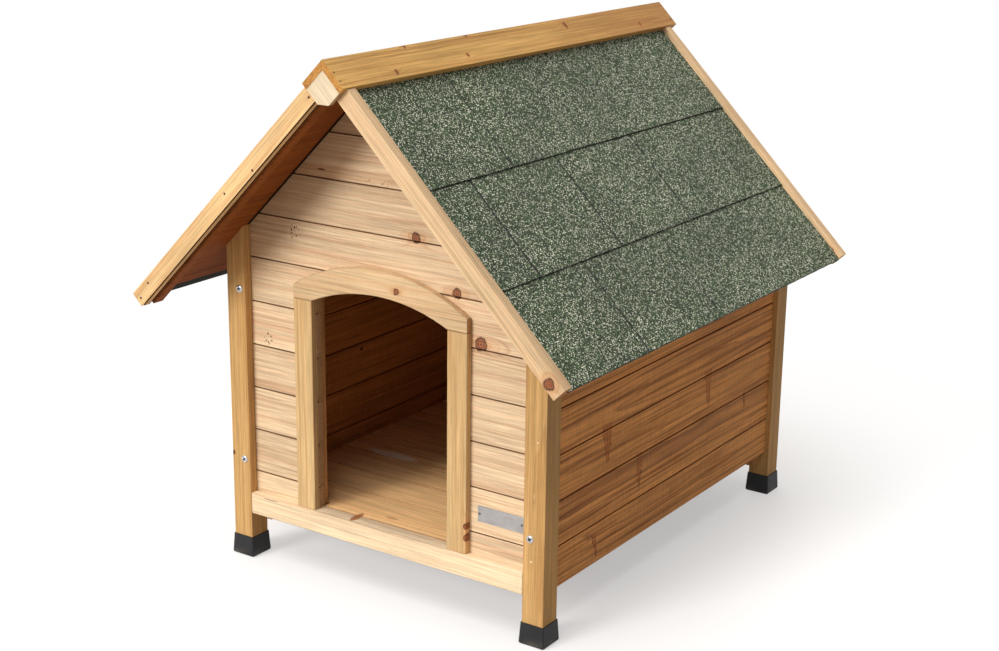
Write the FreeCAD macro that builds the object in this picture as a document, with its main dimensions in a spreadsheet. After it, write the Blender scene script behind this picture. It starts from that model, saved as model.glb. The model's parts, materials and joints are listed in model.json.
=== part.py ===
"""Wooden dog house with a felted saddle roof.

Frame: +Z up, the doorway faces -Y, origin on the ground at the middle of the outline.
Every size is a cell of the sheet "dims" and every sub-part is bound to those cells.
"""
import FreeCAD, Part
import math
import os

X_AXIS = FreeCAD.Vector(1, 0, 0)
Y_AXIS = FreeCAD.Vector(0, 1, 0)
Z_AXIS = FreeCAD.Vector(0, 0, 1)

# alias, value, meaning: millimetres, except the slope in degrees
SIZES = (
    ("house_width", 588, "outside of the posts, left to right"),
    ("house_depth", 764, "outside of the posts, front to rear"),
    ("post_size", 36, "side of the square posts"),
    ("gable_tip", 26.9, "height of the top gable board"),
    ("roof_slope", 45, "pitch of the roof in degrees"),
    ("foot_height", 33.5, "height of a plastic foot cap"),
    ("foot_sole", 6, "sole of a foot cap under the post"),
    ("foot_wall_top", 2, "wall of a foot cap at its mouth"),
    ("foot_wall_base", 4, "wall of a foot cap at the ground"),
    ("foot_corner", 2.5, "rounding of a foot cap's corners"),
    ("board_thickness", 12, "cladding boards of the walls"),
    ("board_cover", 70, "height of one course of cladding"),
    ("board_seam", 2, "open face joint between two courses"),
    ("tongue_height", 6, "tongue on a board's edge"),
    ("tongue_thickness", 4, "thickness of the tongue"),
    ("joint_play", 0.3, "play of the wood joints"),
    ("wall_base", 75.5, "underside of the front and rear cladding"),
    ("front_recess", 14, "front cladding behind the post faces"),
    ("side_recess", 8, "side cladding behind the post faces"),
    ("side_rise", 1.5, "underside of the side cladding above that of the front"),
    ("side_first_course", 64.5, "height of the trimmed first side course"),
    ("rail_height", 35, "bottom rails"),
    ("door_width", 250, "clear width of the doorway"),
    ("door_offset", -4, "middle of the doorway from the middle of the house"),
    ("spring_rise", 21.5, "start of the door arch above its course's lower edge"),
    ("arch_rise", 27.5, "rise of the door arch"),
    ("arch_end_height", 21.5, "height of the arch board's ends"),
    ("arch_crown", 46, "rise of the arch board's upper edge"),
    ("jamb_width", 35, "face width of the door jambs"),
    ("trim_thickness", 11, "door jambs and arch board"),
    ("batten_width", 25.5, "battens behind the cladding"),
    ("batten_depth", 14, "front and rear battens, away from the boards"),
    ("side_batten", 20, "side battens along the wall"),
    ("rake_depth", 20, "battens under the roof slope"),
    ("jamb_batten_setback", 5, "battens beside the doorway, from its edge"),
    ("bearer_width", 28, "floor bearers along the side walls"),
    ("bearer_drop", 8.5, "underside of the floor bearers below the cladding"),
    ("corner_drop", 21.5, "lower ends of the corner battens below the cladding"),
    ("floor_rise", 0.5, "top of the floor boards above the threshold"),
    ("floor_thickness", 12, "floor boards"),
    ("floor_cover", 70, "width of one floor board"),
    ("floor_seam", 2, "open joint between two floor boards"),
    ("floor_end_play", 1, "front and rear edges of the floor to the battens"),
    ("floor_play", 1.5, "play round the loose floor"),
    ("floor_rest", 0.3, "play under the loose floor"),
    ("floor_batten_width", 30, "battens under the floor boards"),
    ("floor_batten_height", 20, "battens under the floor boards"),
    ("floor_batten_spread", 160, "floor battens from the middle"),
    ("floor_batten_setback", 12, "floor batten ends behind the floor's edges"),
    ("front_overhang", 108, "barge board face in front of the posts"),
    ("rear_overhang", 19.3, "rear barge board face behind the posts"),
    ("barge_thickness", 17, "barge boards"),
    ("barge_depth", 25, "barge boards, square to the slope"),
    ("barge_rise", 19, "barge boards above the underside of the deck"),
    ("barge_length", 531, "lower end of the barge boards from the ridge"),
    ("barge_groove", 4, "groove in the lower edge of a barge board"),
    ("barge_groove_depth", 5, "depth of that groove"),
    ("barge_lip", 1.5, "wood in front of that groove"),
    ("deck_thickness", 8, "roof deck"),
    ("rafter_width", 20, "rafters under the front overhang"),
    ("rafter_depth", 9, "rafters under the front overhang"),
    ("rafter_gap", 3, "barge board to rafter"),
    ("rafter_setback", 4, "lower end of the rafters above that of the barge boards"),
    ("felt_top", 2.4, "thickness at the upper edge of a felt course"),
    ("felt_butt", 4.4, "thickness at the lower edge of a felt course"),
    ("felt_first", 204, "lower edge of the first course from the ridge"),
    ("felt_exposure", 169, "length of the second course of felt"),
    ("felt_reach", 2, "felt past the lower end of the barge boards"),
    ("felt_drip", 13, "felt past the roof deck at the eave"),
    ("felt_tab", 218, "width of one felt tab"),
    ("felt_slit", 4, "width of the slits between tabs"),
    ("felt_slit_depth", 1.4, "depth of the slits"),
    ("felt_slit_start", 210, "first slit of the odd courses behind the felt's edge"),
    ("felt_play", 0.5, "felt to barge board"),
    ("cap_width", 50.6, "ridge cap boards"),
    ("cap_thickness", 10, "ridge cap boards"),
    ("cap_reach_front", 9.5, "ridge cap in front of the barge boards"),
    ("cap_reach_rear", 19.6, "ridge cap behind the rear barge boards"),
    ("cap_play", 0.1, "ridge cap above the felt"),
    ("end_plate_side", 40.5, "sloping side of a ridge end plate"),
    ("end_plate_drop", 32, "flat lower edge of a ridge end plate under the ridge"),
    ("end_plate_thickness", 8.5, "ridge end plates"),
    ("end_plate_setback", 0.8, "ridge end plates behind the cap's ends"),
    ("screw_radius", 2.4, "shank of the frame screws"),
    ("screw_length", 50, "shank of the frame screws"),
    ("screw_head_radius", 6, "head of the frame screws"),
    ("screw_head_height", 2.8, "head of the frame screws"),
    ("screw_slot", 1.6, "width of the cross recess"),
    ("screw_edge", 4.5, "frame screws from the outer edge of the side battens"),
    ("screw_low", 89.5, "lower frame screws above the underside of the cladding"),
    ("screw_high", 64.4, "upper frame screws below the post's outer top corner"),
    ("screw_play", 0.05, "hole round a shank"),
    ("nail_radius", 0.9, "nails of the ridge end plates"),
    ("nail_length", 18, "nails of the ridge end plates"),
    ("nail_head_radius", 1.7, "heads of the nails"),
    ("nail_head_height", 0.8, "heads of the nails"),
    ("nail_upper", 2.3, "upper nails from the ridge, down the slope"),
    ("nail_lower", 17.5, "lower nails from the ridge, down the slope"),
    ("plate_width", 80, "name plate"),
    ("plate_field", 102, "cladding beside the right jamb that the name plate's width is made for"),
    ("plate_height", 25, "name plate"),
    ("plate_thickness", 1, "name plate"),
    ("plate_inset", 8, "name plate from the right post"),
    ("plate_rise", 18, "name plate above its course's lower edge"),
    ("pin_radius", 1.1, "pins of the name plate"),
    ("pin_head_radius", 2, "heads of the plate pins"),
    ("pin_head_height", 0.8, "heads of the plate pins"),
    ("pin_length", 8, "shanks of the plate pins"),
    ("pin_inset", 3.2, "plate pins from the plate's ends"),
)

FULL_COURSES = 10  # courses of front cladding under the top gable board
DOOR_COURSE = 5  # courses below the one that the door arch cuts
PLATE_COURSE = 1  # courses below the one that carries the name plate

doc = FreeCAD.newDocument("dog_house")
sheet = doc.addObject("Spreadsheet::Sheet", "dims")
for row, (alias, size, meaning) in enumerate(SIZES, start=1):
    sheet.set("A%d" % row, meaning)
    sheet.set("B%d" % row, str(size))
    sheet.setAlias("B%d" % row, alias)
doc.recompute()

COS = "cos(dims.roof_slope * 1deg)"
SIN = "sin(dims.roof_slope * 1deg)"
HALF = "dims.house_width / 2"
INNER = "(dims.house_width / 2 - dims.post_size)"
FRONT = (
    "((dims.front_overhang + dims.cap_reach_front - dims.house_depth"
    " - dims.rear_overhang - dims.cap_reach_rear) / 2)"
)
MIDDLE = "(%s + dims.house_depth / 2)" % FRONT
CAP_FRONT = "(%s - dims.front_overhang - dims.cap_reach_front)" % FRONT
CAP_LENGTH = (
    "(dims.house_depth + dims.front_overhang + dims.cap_reach_front"
    " + dims.rear_overhang + dims.cap_reach_rear)"
)
BARGE_BACK = "(%s - dims.front_overhang + dims.barge_thickness)" % FRONT
DECK_RUN = (
    "(dims.house_depth + dims.front_overhang + dims.rear_overhang - 2 * dims.barge_thickness)"
)
FRONT_SKIN = "(%s + dims.front_recess)" % FRONT
FRONT_LINING = "(%s + dims.front_recess + dims.board_thickness)" % FRONT
SIDE_LINING = "(dims.house_width / 2 - dims.side_recess - dims.board_thickness)"
RAIL_TOP = "(dims.wall_base + dims.rail_height)"
RIDGE = "(dims.wall_base + %d * dims.board_cover + dims.gable_tip)" % FULL_COURSES
EAVE = "(%s - %s * %s / %s)" % (RIDGE, HALF, SIN, COS)
SIDE_BASE = "(dims.wall_base + dims.side_rise)"
DOOR_SPRING = "(dims.wall_base + %d * dims.board_cover + dims.spring_rise)" % DOOR_COURSE
FLOOR_TOP = "(%s + dims.floor_rise)" % RAIL_TOP
FELT_EAVE = "(dims.barge_length + dims.felt_reach)"
DOOR_LEFT = "(dims.door_offset - dims.door_width / 2)"
DOOR_RIGHT = "(dims.door_offset + dims.door_width / 2)"
ARCH_WIDTH = "(dims.door_width + 2 * dims.jamb_width)"
DOOR_ARC = "((dims.door_width ^ 2 / 4 + dims.arch_rise ^ 2) / (2 * dims.arch_rise))"
ARCH_ARC = "((%s ^ 2 / 4 + dims.arch_crown ^ 2) / (2 * dims.arch_crown))" % ARCH_WIDTH
CAP_SEAT = (
    "(dims.deck_thickness + dims.felt_top + dims.cap_play"
    " + (dims.felt_butt - dims.felt_top) * dims.cap_width / dims.felt_first)"
)
CAP_TOP = "(%s + dims.cap_thickness)" % CAP_SEAT
CAP_END = "(dims.cap_width - %s * %s / %s)" % (CAP_TOP, SIN, COS)
EPSILON = "0.01"

nodes = []


def number(expression):
    """The value of an expression over the sheet."""
    result = sheet.evalExpression(expression)
    return float(getattr(result, "Value", result))


def node(name, thing):
    """Give a finished sub-part its name."""
    thing.Label = name
    nodes.append(thing)
    return thing


def bind(thing, bindings):
    """Bind properties of an object to expressions."""
    for path, expression in bindings.items():
        thing.setExpression(path, expression)
    return thing


def place(thing, x, y, z):
    """Bind the position of an object."""
    return bind(thing, {
        "Placement.Base.x": x,
        "Placement.Base.y": y,
        "Placement.Base.z": z,
    })


def box(name, corner, size):
    """A box from its low corner and its three sizes."""
    thing = doc.addObject("Part::Box", name)
    bind(thing, {"Length": size[0], "Width": size[1], "Height": size[2]})
    return place(thing, *corner)


def cylinder(name, centre, radius, height, axis):
    """A cylinder that starts at centre and runs along axis."""
    thing = doc.addObject("Part::Cylinder", name)
    bind(thing, {"Radius": radius, "Height": height})
    thing.Placement = FreeCAD.Placement(FreeCAD.Vector(), FreeCAD.Rotation(Z_AXIS, axis))
    return place(thing, *centre)


def on_slope(along, off):
    """Place of a point on the right slope: along the slope and square off the deck's underside."""
    x = "((%s) * %s + (%s) * %s)" % (along, COS, off, SIN)
    z = "(%s - (%s) * %s + (%s) * %s)" % (RIDGE, along, SIN, off, COS)
    return x, z


def tilt(thing):
    """Lay an object's X axis down the right slope."""
    thing.Placement.Rotation = FreeCAD.Rotation(Y_AXIS, number("dims.roof_slope"))
    thing.setExpression("Placement.Rotation.Angle", "dims.roof_slope * 1deg")
    return thing


def slope_box(name, along, length, start, run, off, depth):
    """A box on the right slope: down the slope, along the ridge and square to the deck."""
    thing = doc.addObject("Part::Box", name)
    bind(thing, {"Length": length, "Width": run, "Height": depth})
    tilt(thing)
    x, z = on_slope(along, off)
    return place(thing, x, start, z)


def cut(name, base, tool):
    """Base without tool."""
    thing = doc.addObject("Part::Cut", name)
    thing.Base = base
    thing.Tool = tool
    return thing


def common(name, base, tool):
    """What base and tool share."""
    thing = doc.addObject("Part::Common", name)
    thing.Base = base
    thing.Tool = tool
    return thing


def fuse(name, shapes):
    """One solid of several shapes."""
    thing = doc.addObject("Part::MultiFuse", name)
    thing.Shapes = shapes
    return thing


def group(name, shapes):
    """Separate solids in one object."""
    thing = doc.addObject("Part::Compound", name)
    thing.Links = shapes
    return thing


def mirrored(name, source, normal):
    """The image of an object on the other side of the house."""
    thing = doc.addObject("Part::Mirroring", name)
    thing.Source = source
    thing.Normal = normal
    thing.setExpression("Base.y", MIDDLE)
    return thing


def envelope(name, drop):
    """The triangular space under the roof deck, lowered by drop square to the slope."""
    thing = doc.addObject("Part::Wedge", name)
    height = "(%s - (%s) / %s)" % (RIDGE, drop, COS)
    reach = "(%s * %s / %s)" % (height, COS, SIN)
    bind(thing, {
        "Xmin": "-" + reach,
        "Xmax": reach,
        "X2min": "0",
        "X2max": "0",
        "Ymin": "0",
        "Ymax": height,
        "Zmin": "0",
        "Zmax": CAP_LENGTH,
        "Z2min": "0",
        "Z2max": CAP_LENGTH,
    })
    thing.Placement.Rotation = FreeCAD.Rotation(X_AXIS, 90)
    return place(thing, "0", "%s + %s" % (CAP_FRONT, CAP_LENGTH), "0")


def cladding(name, low, high, base, height, skin):
    """A tongued and grooved board from x = low to x = high, its face at y = skin."""
    length = "(%s) - (%s)" % (high, low)
    middle = "%s + dims.board_thickness / 2" % skin
    face = "(%s) - dims.board_seam" % height
    play = "dims.joint_play"
    plank = box(name + "_plank", (low, skin, base), (length, "dims.board_thickness", face))
    tongue = box(
        name + "_tongue",
        (low, "%s - dims.tongue_thickness / 2" % middle, "%s + %s" % (base, face)),
        (length, "dims.tongue_thickness", "dims.tongue_height"),
    )
    groove = box(
        name + "_groove",
        (low, "%s - dims.tongue_thickness / 2 - %s" % (middle, play), base),
        (
            length,
            "dims.tongue_thickness + 2 * %s" % play,
            "dims.tongue_height - dims.board_seam + %s" % play,
        ),
    )
    return cut(name + "_board", fuse(name + "_blank", [plank, tongue]), groove)


def side_cladding(name, base, height, last):
    """A tongued and grooved board of the right side wall."""
    start = "%s + dims.post_size + dims.joint_play" % FRONT
    run = "dims.house_depth - 2 * dims.post_size - 2 * dims.joint_play"
    middle = "%s + dims.board_thickness / 2" % SIDE_LINING
    face = "(%s) - dims.board_seam" % height
    play = "dims.joint_play"
    plank = box(name + "_plank", (SIDE_LINING, start, base), ("dims.board_thickness", run, face))
    groove = box(
        name + "_groove",
        ("%s - dims.tongue_thickness / 2 - %s" % (middle, play), start, base),
        (
            "dims.tongue_thickness + 2 * %s" % play,
            run,
            "dims.tongue_height - dims.board_seam + %s" % play,
        ),
    )
    if last:
        return cut(name + "_board", plank, groove)
    tongue = box(
        name + "_tongue",
        ("%s - dims.tongue_thickness / 2" % middle, start, "%s + %s" % (base, face)),
        ("dims.tongue_thickness", run, "dims.tongue_height"),
    )
    return cut(name + "_board", fuse(name + "_blank", [plank, tongue]), groove)


def frame_screw(name, x, z):
    """A pan-head screw that goes in from the front face of a post."""
    shank = cylinder(name + "_shank", (x, FRONT, z), "dims.screw_radius", "dims.screw_length", Y_AXIS)
    head_start = "%s - dims.screw_head_height" % FRONT
    head = doc.addObject("Part::Cone", name + "_head")
    bind(head, {
        "Radius1": "dims.screw_head_radius * 0.6",
        "Radius2": "dims.screw_head_radius",
        "Height": "dims.screw_head_height",
    })
    head.Placement = FreeCAD.Placement(FreeCAD.Vector(), FreeCAD.Rotation(Z_AXIS, Y_AXIS))
    place(head, x, head_start, z)
    arm = "dims.screw_head_radius"
    level = box(
        name + "_level_slot",
        ("%s - %s / 2" % (x, arm), head_start, "%s - dims.screw_slot / 2" % z),
        (arm, "dims.screw_head_height * 0.7", "dims.screw_slot"),
    )
    upright = box(
        name + "_upright_slot",
        ("%s - dims.screw_slot / 2" % x, head_start, "%s - %s / 2" % (z, arm)),
        ("dims.screw_slot", "dims.screw_head_height * 0.7", arm),
    )
    solid = fuse(name + "_solid", [shank, head])
    return cut(name, solid, fuse(name + "_recess", [level, upright]))


def screw_hole(name, x, z, start, length):
    """The hole for a frame screw."""
    radius = "dims.screw_radius + dims.screw_play"
    return cylinder(name, (x, start, z), radius, length, Y_AXIS)


under_deck = envelope("under_deck", EPSILON)
under_rake = envelope("under_rake", "dims.rake_depth")
right_half = box(
    "right_half", (EPSILON, CAP_FRONT, "0"), ("dims.barge_length", CAP_LENGTH, RIDGE)
)

# frame screws: two through each post, into the side battens behind it
SCREW_X = "(%s - dims.screw_edge)" % SIDE_LINING
SCREW_HEIGHTS = ("(dims.wall_base + dims.screw_low)", "(%s - dims.screw_high)" % EAVE)
front_screws = []
for level_name, height in zip(("low", "high"), SCREW_HEIGHTS):
    front_screws.append(frame_screw("screw_" + level_name, SCREW_X, height))
right_front_screws = group("right_front_screws", front_screws)
front_screw_pair = group(
    "front_screw_pair", [right_front_screws, mirrored("left_front_screws", right_front_screws, X_AXIS)]
)
node("post_screws", group(
    "post_screws", [front_screw_pair, mirrored("rear_screw_pair", front_screw_pair, Y_AXIS)]
))

# posts, cut to the slope of the roof
post_box = box(
    "post_box",
    (INNER, FRONT, "dims.foot_sole"),
    ("dims.post_size", "dims.post_size", RIDGE + " - dims.foot_sole"),
)
post_holes = group("post_holes", [
    screw_hole("post_hole_%d" % index, SCREW_X, height, FRONT, "dims.post_size")
    for index, height in enumerate(SCREW_HEIGHTS)
])
post_front_right = node(
    "post_front_right",
    cut("post_front_right", common("post_blank", post_box, under_deck), post_holes),
)
post_front_left = node("post_front_left", mirrored("post_front_left", post_front_right, X_AXIS))
node("post_rear_right", mirrored("post_rear_right", post_front_right, Y_AXIS))
node("post_rear_left", mirrored("post_rear_left", post_front_left, Y_AXIS))

# push-on foot caps, wider at the ground
foot_body = doc.addObject("Part::Wedge", "foot_body")
FOOT_SPREAD = "(dims.foot_wall_base - dims.foot_wall_top)"
FOOT_SIDE = "(dims.post_size + 2 * dims.foot_wall_base)"
bind(foot_body, {
    "Xmin": "0",
    "Xmax": FOOT_SIDE,
    "X2min": FOOT_SPREAD,
    "X2max": "%s - %s" % (FOOT_SIDE, FOOT_SPREAD),
    "Ymin": "0",
    "Ymax": "dims.foot_height",
    "Zmin": "0",
    "Zmax": FOOT_SIDE,
    "Z2min": FOOT_SPREAD,
    "Z2max": "%s - %s" % (FOOT_SIDE, FOOT_SPREAD),
})
foot_body.Placement.Rotation = FreeCAD.Rotation(X_AXIS, 90)
place(
    foot_body,
    "%s - dims.foot_wall_base" % INNER,
    "%s - dims.foot_wall_base + %s" % (FRONT, FOOT_SIDE),
    "0",
)
doc.recompute()
foot_rounded = doc.addObject("Part::Fillet", "foot_rounded")
foot_rounded.Base = foot_body
FOOT_CORNER = min(number("dims.foot_corner"), number("dims.foot_wall_base") * 0.9)
upright_edges = []
for index, edge in enumerate(foot_body.Shape.Edges, start=1):
    rise = abs(edge.Vertexes[0].Z - edge.Vertexes[-1].Z)
    if rise > number("dims.foot_height") / 2:
        upright_edges.append((index, FOOT_CORNER, FOOT_CORNER))
foot_rounded.Edges = upright_edges
foot_pocket = box(
    "foot_pocket",
    (INNER, FRONT, "dims.foot_sole"),
    ("dims.post_size", "dims.post_size", "dims.foot_height"),
)
foot_front_right = node("foot_cap_front_right", cut("foot_front_right", foot_rounded, foot_pocket))
foot_front_left = node("foot_cap_front_left", mirrored("foot_front_left", foot_front_right, X_AXIS))
node("foot_cap_rear_right", mirrored("foot_rear_right", foot_front_right, Y_AXIS))
node("foot_cap_rear_left", mirrored("foot_rear_left", foot_front_left, Y_AXIS))

# bottom rails between the posts, in front of the cladding
front_rail = node("front_rail", box(
    "front_rail",
    ("-%s + dims.joint_play" % INNER, FRONT, "dims.wall_base"),
    ("2 * %s - 2 * dims.joint_play" % INNER, "dims.front_recess", "dims.rail_height"),
))
node("rear_rail", mirrored("rear_rail", front_rail, Y_AXIS))

# doorway: a rectangle with a flat arch, through everything in the front wall
DOOR_START = "(%s - dims.post_size)" % FRONT
DOOR_RUN = "(3 * dims.post_size)"
door_square = box(
    "door_square",
    (DOOR_LEFT, DOOR_START, RAIL_TOP),
    ("dims.door_width", DOOR_RUN, "%s - %s" % (DOOR_SPRING, RAIL_TOP)),
)
door_round = cylinder(
    "door_round",
    ("dims.door_offset", DOOR_START, "%s + dims.arch_rise - %s" % (DOOR_SPRING, DOOR_ARC)),
    DOOR_ARC,
    DOOR_RUN,
    Y_AXIS,
)
above_spring = box(
    "above_spring",
    (DOOR_LEFT, DOOR_START, DOOR_SPRING),
    ("dims.door_width", DOOR_RUN, "dims.arch_rise * 2"),
)
door_arch_space = common("door_arch_space", door_round, above_spring)
doorway = fuse("doorway", [door_square, door_arch_space])

# front cladding, course by course, and the same boards across the rear
WALL_LEFT = "(-%s + dims.joint_play)" % INNER
WALL_RIGHT = "(%s - dims.joint_play)" % INNER
plate_hole_start = "%s - %s" % (FRONT_SKIN, EPSILON)
PLATE_BASE = "(dims.wall_base + %d * dims.board_cover + dims.plate_rise)" % PLATE_COURSE
PLATE_RIGHT = "(%s - dims.plate_inset)" % INNER
PLATE_FIELD = "(%s - %s - dims.jamb_width)" % (INNER, DOOR_RIGHT)
PLATE_WIDTH = "(dims.plate_width * %s / dims.plate_field)" % PLATE_FIELD
PIN_HEIGHT = "(%s + dims.plate_height / 2)" % PLATE_BASE
PIN_PLACES = (
    "(%s - dims.pin_inset)" % PLATE_RIGHT,
    "(%s - %s + dims.pin_inset)" % (PLATE_RIGHT, PLATE_WIDTH),
)
pin_holes = group("pin_holes", [
    cylinder(
        "pin_hole_%d" % index,
        (x, plate_hole_start, PIN_HEIGHT),
        "dims.pin_radius + dims.screw_play",
        "dims.pin_length + dims.joint_play",
        Y_AXIS,
    )
    for index, x in enumerate(PIN_PLACES)
])
rear_courses = []
for course in range(FULL_COURSES + 1):
    title = "front_board_%02d" % (course + 1)
    base = "(dims.wall_base + %d * dims.board_cover)" % course
    pieces = [(title, WALL_LEFT, WALL_RIGHT)]
    if 0 < course < DOOR_COURSE:
        pieces = [(title + "_left", WALL_LEFT, DOOR_LEFT), (title + "_right", DOOR_RIGHT, WALL_RIGHT)]
    for piece_title, left, right in pieces:
        piece = cladding(piece_title, left, right, base, "dims.board_cover", FRONT_SKIN)
        if course in (0, DOOR_COURSE):
            piece = cut(piece_title + "_doored", piece, doorway)
        if course > DOOR_COURSE:
            piece = common(piece_title + "_trimmed", piece, under_deck)
        if course == PLATE_COURSE and right == WALL_RIGHT:
            piece = cut(piece_title + "_pinned", piece, pin_holes)
        node(piece_title, piece)
    rear = cladding("rear_%02d" % (course + 1), WALL_LEFT, WALL_RIGHT, base, "dims.board_cover", FRONT_SKIN)
    if course > DOOR_COURSE:
        rear = common("rear_%02d_trimmed" % (course + 1), rear, under_deck)
    rear_courses.append(rear)
rear_cladding = group("rear_cladding", rear_courses)
node("rear_boards", mirrored("rear_boards", rear_cladding, Y_AXIS))

# side cladding up to the deck
side_top = number("%s - %s * %s / %s" % (RIDGE, SIDE_LINING, SIN, COS))
first_top = number("%s + dims.side_first_course" % SIDE_BASE)
side_count = 1 + math.ceil((side_top - first_top) / number("dims.board_cover"))
side_courses = []
for course in range(side_count):
    base = SIDE_BASE
    height = "dims.side_first_course"
    if course > 0:
        base = "(%s + dims.side_first_course + %d * dims.board_cover)" % (SIDE_BASE, course - 1)
        height = "dims.board_cover"
    board = side_cladding("side_%02d" % (course + 1), base, height, course == side_count - 1)
    side_courses.append(common("side_%02d_trimmed" % (course + 1), board, under_deck))
side_boards_right = node("side_boards_right", group("side_boards_right", side_courses))
node("side_boards_left", mirrored("side_boards_left", side_boards_right, X_AXIS))

# battens behind the front and rear cladding, clear of the side battens and the bearers
BATTEN_EDGE = "(%s - dims.batten_width)" % SIDE_LINING
BEHIND_POST = "(%s + dims.post_size)" % FRONT
BEARER_TOP = "(%s - dims.floor_thickness - dims.floor_rest)" % FLOOR_TOP
BEARER_BASE = "(dims.wall_base - dims.bearer_drop)"


def upright_batten(name, low, base):
    """An upright batten on the back of the front cladding, under the raking battens."""
    stock = box(
        name + "_stock",
        (low, FRONT_LINING, base),
        ("dims.batten_width", "dims.batten_depth", "%s - %s" % (RIDGE, base)),
    )
    return common(name, stock, under_rake)


rake_stock = box(
    "rake_stock",
    (EPSILON, FRONT_LINING, "dims.wall_base"),
    ("%s - dims.joint_play" % BATTEN_EDGE, "dims.batten_depth", RIDGE + " - dims.wall_base"),
)
rake_right = cut("rake_right", common("rake_blank", rake_stock, under_deck), under_rake)
rake_left = mirrored("rake_left", rake_right, X_AXIS)
end_batten_right = upright_batten(
    "end_batten_right", "%s - dims.joint_play - dims.batten_width" % BATTEN_EDGE, BEARER_TOP
)
end_batten_left = mirrored("end_batten_left", end_batten_right, X_AXIS)
jamb_batten_right = upright_batten(
    "jamb_batten_right", "%s + dims.jamb_batten_setback" % DOOR_RIGHT, "dims.wall_base"
)
jamb_batten_left = upright_batten(
    "jamb_batten_left",
    "%s - dims.jamb_batten_setback - dims.batten_width" % DOOR_LEFT,
    "dims.wall_base",
)
middle_batten = upright_batten("middle_batten", "-dims.batten_width / 2", "dims.wall_base")
node("front_wall_battens", group("front_wall_battens", [
    rake_right, rake_left, end_batten_right, end_batten_left, jamb_batten_right, jamb_batten_left,
]))
rear_batten_set = group(
    "rear_batten_set", [rake_right, rake_left, end_batten_right, end_batten_left, middle_batten]
)
node("rear_wall_battens", mirrored("rear_wall_battens", rear_batten_set, Y_AXIS))

# battens and plates on the side walls, and the bearers that carry the floor
CORNER_BASE = "(dims.wall_base - dims.corner_drop)"
side_batten_stock = box(
    "side_batten_stock",
    (BATTEN_EDGE, BEHIND_POST, CORNER_BASE),
    ("dims.batten_width", "dims.side_batten", "%s - %s" % (RIDGE, CORNER_BASE)),
)
side_batten_holes = group("side_batten_holes", [
    screw_hole("batten_hole_%d" % index, SCREW_X, height, BEHIND_POST, "dims.side_batten")
    for index, height in enumerate(SCREW_HEIGHTS)
])
side_batten_right = cut(
    "side_batten_right",
    common("side_batten_blank", side_batten_stock, under_deck),
    side_batten_holes,
)
side_batten_pair = group(
    "side_batten_pair", [side_batten_right, mirrored("side_batten_left", side_batten_right, X_AXIS)]
)
node("side_battens", group(
    "side_battens", [side_batten_pair, mirrored("rear_batten_pair", side_batten_pair, Y_AXIS)]
))
PLATE_START = "(%s + dims.side_batten)" % BEHIND_POST
PLATE_RUN = "(dims.house_depth - 2 * dims.post_size - 2 * dims.side_batten)"
top_plate_stock = box(
    "top_plate_stock",
    (BATTEN_EDGE, PLATE_START, EAVE + " - dims.rake_depth"),
    ("dims.batten_width", PLATE_RUN, "%s - %s" % (RIDGE, EAVE)),
)
top_plate_right = node("top_plate_right", common("top_plate_right", top_plate_stock, under_deck))
node("top_plate_left", mirrored("top_plate_left", top_plate_right, X_AXIS))
floor_bearer_right = node("floor_bearer_right", box(
    "floor_bearer_right",
    (
        "%s - dims.bearer_width" % SIDE_LINING,
        "%s + dims.side_batten + dims.joint_play" % BEHIND_POST,
        BEARER_BASE,
    ),
    (
        "dims.bearer_width",
        "dims.house_depth - 2 * (dims.post_size + dims.side_batten + dims.joint_play)",
        "%s - %s" % (BEARER_TOP, BEARER_BASE),
    ),
))
node("floor_bearer_left", mirrored("floor_bearer_left", floor_bearer_right, X_AXIS))

# door surround on the face of the cladding
TRIM_FACE = "(%s - dims.trim_thickness)" % FRONT_SKIN
node("door_jamb_left", box(
    "door_jamb_left",
    ("%s - dims.jamb_width" % DOOR_LEFT, TRIM_FACE, RAIL_TOP),
    ("dims.jamb_width", "dims.trim_thickness", "%s - %s" % (DOOR_SPRING, RAIL_TOP)),
))
node("door_jamb_right", box(
    "door_jamb_right",
    (DOOR_RIGHT, TRIM_FACE, RAIL_TOP),
    ("dims.jamb_width", "dims.trim_thickness", "%s - %s" % (DOOR_SPRING, RAIL_TOP)),
))
arch_ends = box(
    "arch_ends",
    ("%s - dims.jamb_width" % DOOR_LEFT, TRIM_FACE, DOOR_SPRING),
    (ARCH_WIDTH, "dims.trim_thickness", "dims.arch_end_height"),
)
arch_disc = cylinder(
    "arch_disc",
    (
        "dims.door_offset",
        TRIM_FACE,
        "%s + dims.arch_end_height + dims.arch_crown - %s" % (DOOR_SPRING, ARCH_ARC),
    ),
    ARCH_ARC,
    "dims.trim_thickness",
    Y_AXIS,
)
arch_clip = box(
    "arch_clip",
    ("%s - dims.jamb_width" % DOOR_LEFT, TRIM_FACE, DOOR_SPRING + " + dims.arch_end_height"),
    (ARCH_WIDTH, "dims.trim_thickness", "dims.arch_crown * 2"),
)
arch_blank = fuse("arch_blank", [arch_ends, common("arch_top", arch_disc, arch_clip)])
node("door_arch", cut("door_arch", arch_blank, doorway))

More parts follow.
